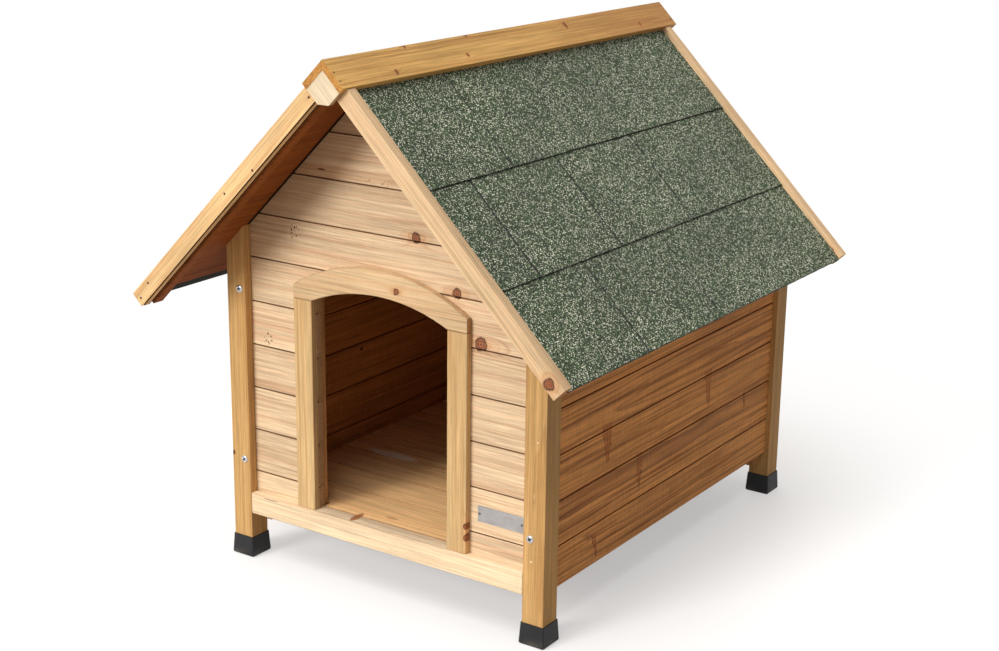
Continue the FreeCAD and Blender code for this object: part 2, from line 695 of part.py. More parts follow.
# loose floor on its bearers
FLOOR_GAP = "(dims.front_recess + dims.board_thickness + dims.batten_depth + dims.floor_end_play)"
FLOOR_START = "(%s + %s)" % (FRONT, FLOOR_GAP)
FLOOR_RUN = "(dims.house_depth - 2 * %s)" % FLOOR_GAP
FLOOR_EDGE = "(%s - dims.floor_play)" % SIDE_LINING
FLOOR_BASE = "(%s - dims.floor_thickness)" % FLOOR_TOP
NOTCH_DEPTH = "(dims.batten_width + dims.floor_play)"
NOTCH_RUN = "(dims.side_batten + dims.floor_play)"
notch_right = box(
    "notch_right",
    ("%s - dims.batten_width - dims.floor_play" % SIDE_LINING, BEHIND_POST, FLOOR_BASE),
    ("2 * %s" % NOTCH_DEPTH, NOTCH_RUN, "dims.floor_thickness"),
)
notch_pair = group("notch_pair", [notch_right, mirrored("notch_left", notch_right, X_AXIS)])
notches = group("notches", [notch_pair, mirrored("rear_notch_pair", notch_pair, Y_AXIS)])
SILL_START = "(%s + dims.front_recess + dims.board_thickness + dims.floor_play)" % FRONT
floor_sill = box(
    "floor_sill",
    (DOOR_LEFT, SILL_START, FLOOR_BASE),
    ("dims.door_width", "%s - %s + %s" % (FLOOR_START, SILL_START, EPSILON), "dims.floor_thickness"),
)
floor_run = number(FLOOR_RUN)
floor_cover = number("dims.floor_cover")
floor_count = math.ceil(floor_run / floor_cover)
floor_pieces = []
for index in range(floor_count):
    start = "%s + %d * dims.floor_cover" % (FLOOR_START, index)
    width = "dims.floor_cover - dims.floor_seam"
    if index == floor_count - 1:
        width = "%s - %d * dims.floor_cover" % (FLOOR_RUN, index)
    board = box(
        "floor_board_%02d" % (index + 1),
        ("-" + FLOOR_EDGE, start, FLOOR_BASE),
        ("2 * " + FLOOR_EDGE, width, "dims.floor_thickness"),
    )
    begins = index * floor_cover
    ends = min(begins + floor_cover, floor_run)
    notch_reach = number("dims.post_size + %s - %s" % (NOTCH_RUN, FLOOR_GAP))
    if begins < notch_reach or ends > floor_run - notch_reach:
        board = cut("floor_board_%02d_notched" % (index + 1), board, notches)
    if index == 0:
        board = fuse("floor_board_01_with_sill", [board, floor_sill])
    floor_pieces.append(board)
node("floor_boards", group("floor_boards", floor_pieces))
floor_batten_right = box(
    "floor_batten_right",
    (
        "dims.floor_batten_spread - dims.floor_batten_width / 2",
        "%s + dims.floor_batten_setback" % FLOOR_START,
        "%s - dims.floor_batten_height" % FLOOR_BASE,
    ),
    (
        "dims.floor_batten_width",
        "%s - 2 * dims.floor_batten_setback" % FLOOR_RUN,
        "dims.floor_batten_height",
    ),
)
node("floor_battens", group(
    "floor_battens", [floor_batten_right, mirrored("floor_batten_left", floor_batten_right, X_AXIS)]
))

# nails through the ridge cap into its end plates
END_START = "(%s + dims.end_plate_setback)" % CAP_FRONT
END_MIDDLE = "dims.end_plate_setback + dims.end_plate_thickness / 2"
NAIL_ROWS = (
    "(%s + %s)" % (CAP_FRONT, END_MIDDLE),
    "(%s + %s - (%s))" % (CAP_FRONT, CAP_LENGTH, END_MIDDLE),
)


def sloped_pin(name, along, y, top, radius, length):
    """A cylinder square to the right slope that ends at the height top above the deck's underside."""
    thing = doc.addObject("Part::Cylinder", name)
    bind(thing, {"Radius": radius, "Height": length})
    tilt(thing)
    x, z = on_slope(along, "%s - (%s)" % (top, length))
    return place(thing, x, y, z)


nails = []
nail_holes = []
for end, y in zip(("front", "rear"), NAIL_ROWS):
    for level, along in zip(("upper", "lower"), ("dims.nail_upper", "dims.nail_lower")):
        title = "nail_%s_%s" % (end, level)
        nails.append(fuse(title, [
            sloped_pin(title + "_shank", along, y, CAP_TOP, "dims.nail_radius", "dims.nail_length"),
            sloped_pin(title + "_head", along, y, CAP_TOP, "dims.nail_head_radius", "dims.nail_head_height"),
        ]))
        nail_holes.append(sloped_pin(
            title + "_hole", along, y, CAP_TOP, "dims.nail_radius + dims.screw_play",
            "dims.nail_length + dims.screw_play",
        ))
        nail_holes.append(sloped_pin(
            title + "_sink", along, y, CAP_TOP, "dims.nail_head_radius + dims.screw_play",
            "dims.nail_head_height + dims.screw_play",
        ))
right_nails = group("right_nails", nails)
right_nail_holes = fuse("right_nail_holes", nail_holes)
left_nail_holes = mirrored("left_nail_holes", right_nail_holes, X_AXIS)
node("cap_nails", group("cap_nails", [right_nails, mirrored("left_nails", right_nails, X_AXIS)]))

# roof deck: one panel on each slope, meeting at the ridge
roof_deck_right = node("roof_deck_right", slope_box(
    "deck_right", EPSILON, FELT_EAVE + " - dims.felt_drip", BARGE_BACK, DECK_RUN,
    EPSILON, "dims.deck_thickness",
))
node("roof_deck_left", mirrored("roof_deck_left", roof_deck_right, X_AXIS))

# felt in courses, each thicker at its lower edge and slit into tabs
FELT_START = "(%s + dims.felt_play)" % BARGE_BACK
FELT_RUN = "(%s - 2 * dims.felt_play)" % DECK_RUN
FELT_EDGES = (
    "dims.deck_thickness",
    "dims.felt_first",
    "(dims.felt_first + dims.felt_exposure)",
    FELT_EAVE,
)
felt_run = number(FELT_RUN)
felt_tab = number("dims.felt_tab")
for course, (upper, lower) in enumerate(zip(FELT_EDGES, FELT_EDGES[1:])):
    title = "roofing_felt_right_%d" % (course + 1)
    sheet_of_felt = doc.addObject("Part::Wedge", title + "_sheet")
    bind(sheet_of_felt, {
        "Xmin": "0",
        "Xmax": "dims.felt_top",
        "X2min": "0",
        "X2max": "dims.felt_butt",
        "Ymin": "0",
        "Ymax": "%s - %s" % (lower, upper),
        "Zmin": "0",
        "Zmax": FELT_RUN,
        "Z2min": "0",
        "Z2max": FELT_RUN,
    })
    sheet_of_felt.Placement.Rotation = FreeCAD.Rotation(FreeCAD.Vector(1, 1, 1), -120)
    laid_felt = tilt(group(title + "_laid", [sheet_of_felt]))
    x, z = on_slope(upper, "dims.deck_thickness + %s" % EPSILON)
    place(laid_felt, x, FELT_START, z)
    slits = []
    first = "dims.felt_slit_start - %d * dims.felt_tab / 2" % (course % 2)
    slit_count = math.ceil((felt_run - number(first)) / felt_tab)
    for index in range(slit_count):
        slits.append(slope_box(
            "%s_slit_%d" % (title, index),
            upper,
            "%s - %s + %s" % (lower, upper, EPSILON),
            "%s + %s + %d * dims.felt_tab" % (FELT_START, first, index),
            "dims.felt_slit",
            "dims.deck_thickness + dims.felt_top - dims.felt_slit_depth",
            "dims.felt_butt",
        ))
    felt = cut(title + "_tabs", laid_felt, group(title + "_slits", slits))
    node(title, felt)
    node(title.replace("right", "left"), mirrored(title + "_image", felt, X_AXIS))

# barge boards along the four sloping edges, grooved on their lower edge
barge_stock = slope_box(
    "barge_stock",
    "%s + dims.joint_play" % CAP_END,
    "dims.barge_length - %s - dims.joint_play" % CAP_END,
    "%s - dims.front_overhang" % FRONT,
    "dims.barge_thickness",
    "dims.barge_rise - dims.barge_depth",
    "dims.barge_depth",
)
barge_groove = slope_box(
    "barge_groove",
    "0",
    "dims.barge_length * 1.1",
    "%s - dims.front_overhang + dims.barge_lip" % FRONT,
    "dims.barge_groove",
    "dims.barge_rise - dims.barge_depth",
    "dims.barge_groove_depth",
)
barge_front_right = node("barge_board_front_right", cut("barge_front_right", barge_stock, barge_groove))
barge_front_left = node("barge_board_front_left", mirrored("barge_front_left", barge_front_right, X_AXIS))


def to_rear(name, source):
    """The image of a front barge board at the rear edge of the deck."""
    thing = doc.addObject("Part::Mirroring", name)
    thing.Source = source
    thing.Normal = Y_AXIS
    thing.setExpression("Base.y", "%s + %s / 2" % (BARGE_BACK, DECK_RUN))
    return thing


node("barge_board_rear_right", to_rear("barge_rear_right", barge_front_right))
node("barge_board_rear_left", to_rear("barge_rear_left", barge_front_left))

# rafters under the front overhang
rafter_stock = slope_box(
    "rafter_stock",
    "0",
    "dims.barge_length - dims.rafter_setback",
    "%s + dims.rafter_gap" % BARGE_BACK,
    "dims.rafter_width",
    "-dims.rafter_depth",
    "dims.rafter_depth",
)
rafter_right = common("rafter_right", rafter_stock, right_half)
node("front_rafters", group(
    "front_rafters", [rafter_right, mirrored("rafter_left", rafter_right, X_AXIS)]
))

# ridge cap: the right board laps over the upper edge of the left one
CAP_SPAN = "(2 * dims.cap_width + %s)" % CAP_END
cap_stock = slope_box(
    "cap_stock", "-2 * dims.cap_width", CAP_SPAN, CAP_FRONT, CAP_LENGTH, CAP_SEAT, "dims.cap_thickness"
)
above_cap = slope_box(
    "above_cap", "-4 * dims.cap_width", "8 * dims.cap_width", CAP_FRONT, CAP_LENGTH,
    CAP_TOP, "4 * dims.cap_width",
)
over_cap_seat = slope_box(
    "over_cap_seat", "-4 * dims.cap_width", "8 * dims.cap_width", CAP_FRONT, CAP_LENGTH,
    CAP_SEAT + " - " + EPSILON, "4 * dims.cap_width",
)
cap_right_blank = cut("cap_right_blank", cap_stock, mirrored("above_left_cap", above_cap, X_AXIS))
node("ridge_cap_right", cut("ridge_cap_right", cap_right_blank, right_nail_holes))
cap_left_blank = cut("cap_left_blank", mirrored("cap_left_stock", cap_stock, X_AXIS), over_cap_seat)
node("ridge_cap_left", cut("ridge_cap_left", cap_left_blank, left_nail_holes))

# ridge end plates under the cap
end_plate_board = slope_box(
    "end_plate_board",
    "-2 * dims.end_plate_side",
    "3 * dims.end_plate_side - %s * %s / %s" % (CAP_SEAT, SIN, COS),
    END_START,
    "dims.end_plate_thickness",
    "%s - 4 * dims.end_plate_side" % CAP_SEAT,
    "4 * dims.end_plate_side - %s" % EPSILON,
)
end_plate_space = box(
    "end_plate_space",
    ("-2 * dims.end_plate_side", END_START, RIDGE + " - dims.end_plate_drop"),
    ("4 * dims.end_plate_side", "dims.end_plate_thickness", "3 * dims.end_plate_side"),
)
end_plate_half = common("end_plate_half", end_plate_board, end_plate_space)
end_plate_blank = common(
    "end_plate_blank", end_plate_half, mirrored("end_plate_other_half", end_plate_half, X_AXIS)
)
end_plate_image = doc.addObject("Part::Mirroring", "end_plate_image")
end_plate_image.Source = end_plate_blank
end_plate_image.Normal = Y_AXIS
end_plate_image.setExpression("Base.y", "%s + %s / 2" % (CAP_FRONT, CAP_LENGTH))
all_nail_holes = group("all_nail_holes", [right_nail_holes, left_nail_holes])
node("ridge_end_plates", group("ridge_end_plates", [
    cut("end_plate_front", end_plate_blank, all_nail_holes),
    cut("end_plate_rear", end_plate_image, all_nail_holes),
]))

# bare name plate and its two pins
plate_blank = box(
    "plate_blank",
    (
        "%s - %s" % (PLATE_RIGHT, PLATE_WIDTH),
        "%s - dims.plate_thickness" % FRONT_SKIN,
        PLATE_BASE,
    ),
    (PLATE_WIDTH, "dims.plate_thickness", "dims.plate_height"),
)
plate_punch = group("plate_punch", [
    cylinder(
        "punch_%d" % index,
        (x, "%s - 2 * dims.plate_thickness" % FRONT_SKIN, PIN_HEIGHT),
        "dims.pin_radius + dims.screw_play",
        "3 * dims.plate_thickness",
        Y_AXIS,
    )
    for index, x in enumerate(PIN_PLACES)
])
node("name_plate", cut("name_plate", plate_blank, plate_punch))
pins = []
for index, x in enumerate(PIN_PLACES):
    pin_face = "%s - dims.plate_thickness - dims.pin_head_height" % FRONT_SKIN
    pins.append(fuse("plate_pin_%d" % index, [
        cylinder(
            "pin_head_%d" % index, (x, pin_face, PIN_HEIGHT),
            "dims.pin_head_radius", "dims.pin_head_height", Y_AXIS,
        ),
        cylinder(
            "pin_shank_%d" % index, (x, pin_face, PIN_HEIGHT),
            "dims.pin_radius", "dims.pin_length", Y_AXIS,
        ),
    ]))
node("plate_pins", group("plate_pins", pins))

doc.recompute()
for thing in doc.Objects:
    if "Invalid" in thing.State or "Error" in thing.State:
        raise RuntimeError("failed: %s %s" % (thing.Name, thing.State))
for thing in nodes:
    if thing.Shape.isNull() or not thing.Shape.isValid() or not thing.Shape.Solids:
        raise RuntimeError("no valid solid: " + thing.Label)

os.makedirs("parts", exist_ok=True)
for thing in nodes:
    thing.Shape.exportStep("parts/%s.step" % thing.Label)
print(len(nodes), "nodes,", sum(len(thing.Shape.Solids) for thing in nodes), "solids")
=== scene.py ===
"""Dog house in pine under a stain, with a green felt roof: camera, lights and finished pieces."""

import json
import math

import bmesh
import bpy
import numpy as np
from mathutils import Matrix, Vector

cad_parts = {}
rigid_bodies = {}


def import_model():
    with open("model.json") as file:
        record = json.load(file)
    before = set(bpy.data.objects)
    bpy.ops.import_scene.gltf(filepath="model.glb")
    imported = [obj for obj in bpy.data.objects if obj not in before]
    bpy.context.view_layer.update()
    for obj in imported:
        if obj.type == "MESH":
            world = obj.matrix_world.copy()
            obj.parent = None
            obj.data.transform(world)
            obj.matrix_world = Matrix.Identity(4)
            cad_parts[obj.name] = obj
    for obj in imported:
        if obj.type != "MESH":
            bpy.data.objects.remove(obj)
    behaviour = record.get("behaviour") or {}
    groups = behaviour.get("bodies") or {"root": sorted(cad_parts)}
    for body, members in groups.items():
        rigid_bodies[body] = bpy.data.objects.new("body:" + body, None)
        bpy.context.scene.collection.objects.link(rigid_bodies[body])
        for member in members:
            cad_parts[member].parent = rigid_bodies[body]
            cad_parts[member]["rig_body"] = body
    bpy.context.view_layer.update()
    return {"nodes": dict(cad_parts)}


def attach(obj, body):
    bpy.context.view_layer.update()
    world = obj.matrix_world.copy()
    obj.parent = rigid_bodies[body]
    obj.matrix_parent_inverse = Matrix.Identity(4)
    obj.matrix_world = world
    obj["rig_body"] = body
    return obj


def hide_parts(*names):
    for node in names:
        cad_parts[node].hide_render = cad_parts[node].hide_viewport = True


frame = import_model()
DICE = np.random.default_rng(41)

# places in metres, slope distances down the roof from the ridge
RIDGE_HEIGHT = 0.8024  # where the undersides of the two decks meet
HALF_ROOT = math.sqrt(0.5)
MM = 0.001
WALL_FACE = -0.3287  # front of the front boards
POST_FACE = -0.3427  # front of the posts and the rail
BARGE_FACE = -0.4507  # front of the barge boards
SIDE_FACE = 0.286  # outside of the right wall

RIGHT_SLOPE = np.array((HALF_ROOT, 0, -HALF_ROOT))
RIGHT_NORMAL = np.array((HALF_ROOT, 0, HALF_ROOT))
LEFT_SLOPE = np.array((-HALF_ROOT, 0, -HALF_ROOT))
LEFT_NORMAL = np.array((-HALF_ROOT, 0, HALF_ROOT))

# directions of a board: along the grain, across its width, through its thickness
GRAINS = {
    "crosswise": ((1, 0, 0), (0, 0, 1), (0, 1, 0)),
    "upright": ((0, 0, 1), (1, 0, 0), (0, 1, 0)),
    "lengthwise": ((0, 1, 0), (0, 0, 1), (1, 0, 0)),
    "floorwise": ((1, 0, 0), (0, 1, 0), (0, 0, 1)),
    "down_right": (RIGHT_SLOPE, RIGHT_NORMAL, (0, 1, 0)),
    "down_left": (LEFT_SLOPE, LEFT_NORMAL, (0, 1, 0)),
    "ridge_right": ((0, 1, 0), RIGHT_SLOPE, RIGHT_NORMAL),
    "ridge_left": ((0, 1, 0), LEFT_SLOPE, LEFT_NORMAL),
}


def shade(red, green, blue):
    """A colour of the screen, 0 to 255, as linear light."""
    values = []
    for value in (red, green, blue):
        part = value / 255
        values.append(part / 12.92 if part <= 0.04045 else ((part + 0.055) / 1.055) ** 2.4)
    return (*values, 1)


# ---------------------------------------------------------------- shader wiring


class Wiring:
    """Adds nodes to one tree and joins them."""

    def __init__(self, tree):
        self.tree = tree

    def feed(self, socket, value):
        if isinstance(value, bpy.types.NodeSocket):
            self.tree.links.new(value, socket)
        else:
            socket.default_value = value

    def add(self, kind, inputs=None, **settings):
        made = self.tree.nodes.new(kind)
        for name, value in settings.items():
            setattr(made, name, value)
        for name, value in (inputs or {}).items():
            self.feed(made.inputs[name], value)
        return made

    def sum(self, operation, *values, clamp=False):
        made = self.add("ShaderNodeMath", operation=operation, use_clamp=clamp)
        for socket, value in zip(made.inputs, values):
            self.feed(socket, value)
        return made.outputs[0]

    def times(self, first, second):
        return self.sum("MULTIPLY", first, second)

    def plus(self, first, second, clamp=False):
        return self.sum("ADD", first, second, clamp=clamp)

    def minus(self, first, second):
        return self.sum("SUBTRACT", first, second)

    def size(self, value):
        return self.sum("ABSOLUTE", value)

    def larger(self, first, second):
        return self.sum("MAXIMUM", first, second)

    def sway(self, value, amount):
        """A noise value's distance from its middle, 0.5, times the amount."""
        return self.times(self.minus(value, 0.5), amount)

    def drift(self, vector, amount):
        """A noise colour's distance from its middle as a vector, times the amount."""
        return self.vector("SCALE", self.vector("SUBTRACT", vector, (0.5, 0.5, 0.5)), scale=amount)

    def vector(self, operation, first, second=None, scale=None):
        made = self.add("ShaderNodeVectorMath", {0: first}, operation=operation)
        if second is not None:
            self.feed(made.inputs[1], second)
        if scale is not None:
            self.feed(made.inputs["Scale"], scale)
        single = operation in ("LENGTH", "DOT_PRODUCT")
        return made.outputs["Value" if single else "Vector"]

    def split(self, vector):
        return self.add("ShaderNodeSeparateXYZ", {0: vector}).outputs

    def join(self, x, y, z):
        return self.add("ShaderNodeCombineXYZ", {0: x, 1: y, 2: z}).outputs[0]

    def span(self, value, low, high, start=0.0, end=1.0):
        """The value's way from low to high, eased, as start to end."""
        made = self.add("ShaderNodeMapRange", interpolation_type="SMOOTHSTEP")
        for socket, part in zip(made.inputs, (value, low, high, start, end)):
            self.feed(socket, part)
        return made.outputs[0]

    def blend(self, factor, first, second):
        return self.add("ShaderNodeMix", {0: factor, 6: first, 7: second}, data_type="RGBA").outputs[2]

    def noise(self, vector, scale, detail, roughness=0.5):
        inputs = {"Vector": vector, "Scale": scale, "Detail": detail, "Roughness": roughness}
        return self.add("ShaderNodeTexNoise", inputs).outputs

    def steps(self, value, stops, way="LINEAR"):
        made = self.add("ShaderNodeValToRGB", {0: value})
        made.color_ramp.interpolation = way
        elements = made.color_ramp.elements
        while len(elements) < len(stops):
            elements.new(0.5)
        for element, (place, colour) in zip(elements, stops):
            element.position = place
            element.color = colour if isinstance(colour, tuple) else (colour, colour, colour, 1)
        return made.outputs[0]

    def place(self):
        return self.add("ShaderNodeTexCoord").outputs["Object"]

    def attribute(self, name, output="Fac"):
        return self.add("ShaderNodeAttribute", attribute_name=name).outputs[output]

    def bump(self, height, strength, distance):
        inputs = {"Height": height, "Strength": strength, "Distance": distance}
        return self.add("ShaderNodeBump", inputs).outputs[0]

    def group(self, tree, inputs):
        return self.add("ShaderNodeGroup", inputs, node_tree=tree).outputs


SOCKETS = {"float": "NodeSocketFloat", "vector": "NodeSocketVector", "colour": "NodeSocketColor"}


def shader_group(title, takes, gives):
    """An empty node group: (group, its wiring, the sockets it is given, the sockets it gives)."""
    group = bpy.data.node_groups.new(title, "ShaderNodeTree")
    for name, kind in takes.items():
        group.interface.new_socket(name=name, in_out="INPUT", socket_type=SOCKETS[kind])
    for name, kind in gives.items():
        group.interface.new_socket(name=name, in_out="OUTPUT", socket_type=SOCKETS[kind])
    wiring = Wiring(group)
    inside = wiring.add("NodeGroupInput").outputs
    outside = wiring.add("NodeGroupOutput").inputs
    return group, wiring, inside, outside


def knot_group():
    """A knot round a line through the board: how far it bends the rings, its heart, its bark and the
    stained wood round it."""
    group, w, given, gives = shader_group(
        "knot",
        {"Point": "vector", "Centre": "vector", "Across": "vector", "Along": "vector", "Size": "float"},
        {"Bend": "float", "Heart": "float", "Rim": "float", "Halo": "float"},
    )
    away = w.vector("SUBTRACT", given["Point"], given["Centre"])
    near = w.vector("MULTIPLY_ADD", away, given["Across"])
    w.feed(near.node.inputs[2], w.drift(w.noise(given["Point"], 130.0, 2.0)[1], 0.0065))
    distance = w.sum("DIVIDE", w.vector("LENGTH", near), given["Size"])
    drawn = w.vector("LENGTH", w.vector("MULTIPLY", away, given["Along"]))
    drawn = w.sum("DIVIDE", drawn, given["Size"])
    # a bell curve round the knot
    pull = w.sum("POWER", 2.718, w.times(-0.34, w.times(drawn, drawn)))
    w.feed(gives["Bend"], w.times(pull, w.times(given["Size"], -1.3)))
    w.feed(gives["Halo"], w.sum("POWER", pull, 1.6))
    growth = w.sum("SINE", w.times(distance, 14.0))
    heart = w.span(distance, 1.15, 0.8)
    w.feed(gives["Heart"], w.times(heart, w.span(growth, -1.0, 1.0, 0.72, 1.0)))
    band = w.minus(w.span(distance, 1.35, 1.05), w.span(distance, 1.0, 0.75))
    w.feed(gives["Rim"], w.larger(band, 0.0))
    return group


def mark_group():
    """A soft-edged spot, stretched along one way, for nail holes, resin pockets and scuffs, and the same
    spot broken up into specks."""
    group, w, given, gives = shader_group(
        "mark",
        {"Point": "vector", "Centre": "vector", "Reach": "vector", "Break": "float"},
        {"Mask": "float", "Specks": "float"},
    )
    away = w.vector("DIVIDE", w.vector("SUBTRACT", given["Point"], given["Centre"]), given["Reach"])
    ragged = w.sway(w.noise(given["Point"], 260.0, 3.0)[0], given["Break"])
    distance = w.plus(w.vector("LENGTH", away), ragged)
    w.feed(gives["Mask"], w.span(distance, 1.1, 0.75))
    cells = w.add("ShaderNodeTexVoronoi", {"Vector": given["Point"], "Scale": 250.0}).outputs
    chosen = w.sum("GREATER_THAN", w.split(cells["Color"])[0], 0.45)
    dots = w.times(w.span(cells["Distance"], 0.5, 0.3), chosen)
    w.feed(gives["Specks"], w.times(dots, w.span(distance, 1.2, 0.6)))
    return group


def spike_group():
    """A branch cut lengthwise: a wedge that narrows downwards, with a dark line at each side and a fainter
    one in its middle."""
    group, w, given, gives = shader_group(
        "spike_knot",
        {"Point": "vector", "Top": "vector", "Length": "float", "Width": "float", "Slant": "float"},
        {"Lines": "float", "Fill": "float"},
    )
    away = w.split(w.vector("SUBTRACT", given["Point"], given["Top"]))
    wander = w.sway(w.noise(given["Point"], 110.0, 2.0)[0], 0.009)
    down = w.sum("DIVIDE", w.times(away[2], -1.0), given["Length"])
    beside = w.plus(w.plus(away[1], wander), w.times(away[2], given["Slant"]))
    half = w.times(given["Width"], w.minus(1.0, w.times(down, 0.72)))
    outside = w.minus(w.size(beside), half)
    rims = w.span(w.size(outside), 0.0016, 0.0004)
    lines = w.larger(rims, w.span(w.size(beside), 0.0012, 0.0002, 0.0, 0.7))
    within = w.times(w.span(down, -0.03, 0.03), w.span(down, 1.02, 0.9))
    within = w.times(within, w.span(w.size(away[0]), 0.004, 0.002))
    broken = w.span(w.noise(given["Point"], 240.0, 2.0)[0], 0.4, 0.62, 0.1, 1.0)
    w.feed(gives["Lines"], w.times(w.times(lines, within), broken))
    w.feed(gives["Fill"], w.times(w.span(outside, 0.001, -0.001), within))
    return group


def pine_group():
    """Pine under a stain: growth rings round a pith line that wanders, streaks, fibres, knots and end grain.
    The deep faces and the rounded edges get painted shade, or a painted highlight where Edge is negative.
    """
    group, w, given, gives = shader_group(
        "stained_pine",
        {
            "Grain": "vector",
            **dict.fromkeys(("Tone", "End", "Edge", "Deep", "Saw", "Bend", "Heart", "Rim", "Halo"), "float"),
            **dict.fromkeys(("Early", "Late", "Stain"), "colour"),
            **dict.fromkeys(("Ring width", "Ring strength", "Stain strength"), "float"),
        },
        {"Colour": "colour", "Roughness": "float", "Height": "float"},
    )
    grain = given["Grain"]

    def drawn(along, across, detail, roughness=0.5):
        """Noise with the given number of waves to a metre along and across the grain."""
        stretched = w.vector("MULTIPLY", grain, (along, across, across))
        return w.noise(stretched, 1.0, detail, roughness)

    slow = w.drift(drawn(1.5, 7.0, 2.0)[1], 0.017)
    quick = w.drift(drawn(11.0, 70.0, 2.0)[1], 0.0024)
    bends = w.vector("ADD", slow, quick)
    moved = w.vector("MULTIPLY", w.vector("ADD", grain, bends), (0.0, 1.0, 1.0))
    radius = w.plus(w.vector("LENGTH", moved), given["Bend"])
    years = w.sum("DIVIDE", radius, given["Ring width"])
    uneven = w.noise(w.join(w.times(radius, 110.0), 0.0, 0.0), 1.0, 1.0)[0]
    years = w.plus(years, w.times(uneven, 1.5))
    season = w.sum("FRACT", years)
    late = w.steps(season, ((0.0, 0.1), (0.12, 0.0), (0.5, 0.14), (0.8, 0.7), (0.93, 1.0), (1.0, 0.12)))
    harvest = w.noise(w.join(w.sum("FLOOR", years), 3.7, 0.0), 1.9, 0.0)[0]
    late = w.times(late, w.span(harvest, 0.3, 0.7, 0.35, 1.0))

    streak = w.span(drawn(2.2, 110.0, 5.0, 0.66)[0], 0.44, 0.7)
    fibre = drawn(26.0, 900.0, 2.0)[0]
    broad = drawn(7.0, 330.0, 3.0, 0.6)[0]
    sawn = drawn(520.0, 34.0, 2.0)[0]
    blotch = drawn(4.0, 13.0, 3.0)[0]

    # dark faces show less of their figure
    calm = w.minus(1.0, w.times(given["Deep"], 0.8))
    stained_part = w.times(w.times(streak, given["Stain strength"]), calm)
    ringed_part = w.times(w.times(late, given["Ring strength"]), calm)
    colour = w.blend(stained_part, given["Early"], given["Stain"])
    colour = w.blend(ringed_part, colour, given["Late"])
    colour = w.blend(w.times(given["Halo"], 0.5), colour, shade(204, 132, 74))
    colour = w.blend(w.times(given["Heart"], 0.94), colour, shade(122, 58, 34))
    colour = w.blend(w.times(given["Rim"], 0.85), colour, shade(62, 26, 16))
    light = w.plus(1.0, w.times(given["Tone"], 0.07))
    for pattern, strength in ((fibre, 0.55), (broad, 0.95), (blotch, 0.5), (sawn, given["Saw"])):
        light = w.plus(light, w.sway(pattern, strength))
    # painted shade darkens the rounded edges; a negative Edge makes them paler instead, a painted highlight
    light = w.times(light, w.minus(1.0, w.times(given["Edge"], 0.16)))
    colour = w.vector("SCALE", colour, scale=light)
    # painted shade: the deep faces take this darker colour
    painted_shade_colour = w.vector("MULTIPLY", colour, (0.40, 0.27, 0.19))
    colour = w.blend(w.times(given["Deep"], 0.9), colour, painted_shade_colour)
    ends = w.vector("MULTIPLY", colour, (0.74, 0.62, 0.5))
    w.feed(gives["Colour"], w.blend(given["End"], colour, ends))
    rough = w.minus(0.62, w.times(late, 0.14))
    rough = w.plus(rough, w.sway(fibre, 0.25))
    w.feed(gives["Roughness"], w.plus(rough, w.times(given["End"], 0.16), clamp=True))
    height = w.plus(w.times(late, 0.35), w.times(fibre, 0.3))
    height = w.plus(height, w.times(broad, 0.55))
    w.feed(gives["Height"], w.minus(height, w.times(given["Rim"], 0.5)))
    return group


def granule_group():
    """Slate granules bedded in bitumen, with larger pale chips among them: their colours, how rough they
    are and how high they stand."""
    group, w, given, gives = shader_group(
        "granules",
        {"Point": "vector", "Bare": "float"},
        {"Colour": "colour", "Roughness": "float", "Height": "float"},
    )
    point = given["Point"]
    moved = w.vector("ADD", point, w.drift(w.noise(point, 500.0, 1.0)[1], 0.0016))
    grit = w.add("ShaderNodeTexVoronoi", {"Vector": moved, "Scale": 900.0})
    chip = w.add("ShaderNodeTexVoronoi", {"Vector": moved, "Scale": 500.0})
    pick = w.split(grit.outputs["Color"])[0]
    colour = w.steps(
        pick,
        (
            (0.0, shade(10, 22, 8)),
            (0.34, shade(36, 60, 30)),
            (0.62, shade(72, 100, 60)),
            (0.82, shade(124, 148, 102)),
            (0.93, shade(204, 216, 176)),
        ),
        "CONSTANT",
    )
    gap = w.span(grit.outputs["Distance"], 0.42, 0.72)
    colour = w.blend(w.times(gap, 0.6), colour, shade(16, 24, 16))
    shape = w.span(chip.outputs["Distance"], 0.54, 0.42)
    bright = w.times(shape, w.sum("GREATER_THAN", w.split(chip.outputs["Color"])[2], 0.73))
    colour = w.blend(bright, colour, shade(255, 255, 240))
    cloud = w.noise(point, 9.0, 3.0)[0]
    colour = w.vector("SCALE", colour, scale=w.span(cloud, 0.25, 0.75, 0.84, 1.16))
    torn = w.plus(given["Bare"], w.sway(w.noise(point, 420.0, 2.0)[0], 0.8))
    bare = w.span(torn, 0.3, 0.55)
    w.feed(gives["Colour"], w.blend(bare, colour, shade(24, 24, 23)))
    w.feed(gives["Roughness"], w.minus(0.92, w.times(pick, 0.25)))
    stand = w.plus(w.minus(1.0, grit.outputs["Distance"]), w.times(bright, 0.6))
    w.feed(gives["Height"], w.times(stand, w.minus(1.0, bare)))
    return group


KNOT = knot_group()
MARK = mark_group()
SPIKE = spike_group()
PINE = pine_group()
GRANULES = granule_group()


def new_material(title):
    """A material with an output and a Principled shader: (material, wiring, shader)."""
    made = bpy.data.materials.new(title)
    made.use_nodes = True
    made.node_tree.nodes.clear()
    w = Wiring(made.node_tree)
    shader = w.add("ShaderNodeBsdfPrincipled")
    w.add("ShaderNodeOutputMaterial", {"Surface": shader.outputs[0]})
    return made, w, shader


def finished(w, shader, made, colour, roughness, height, strength, depth, sheen=None):
    """The material with its colour, roughness and relief, whose depth is in millimetres."""
    w.feed(shader.inputs["Base Color"], colour)
    w.feed(shader.inputs["Roughness"], roughness)
    if sheen is not None:
        w.feed(shader.inputs["Specular IOR Level"], sheen)
    w.feed(shader.inputs["Normal"], w.bump(height, strength, depth * MM))
    return made


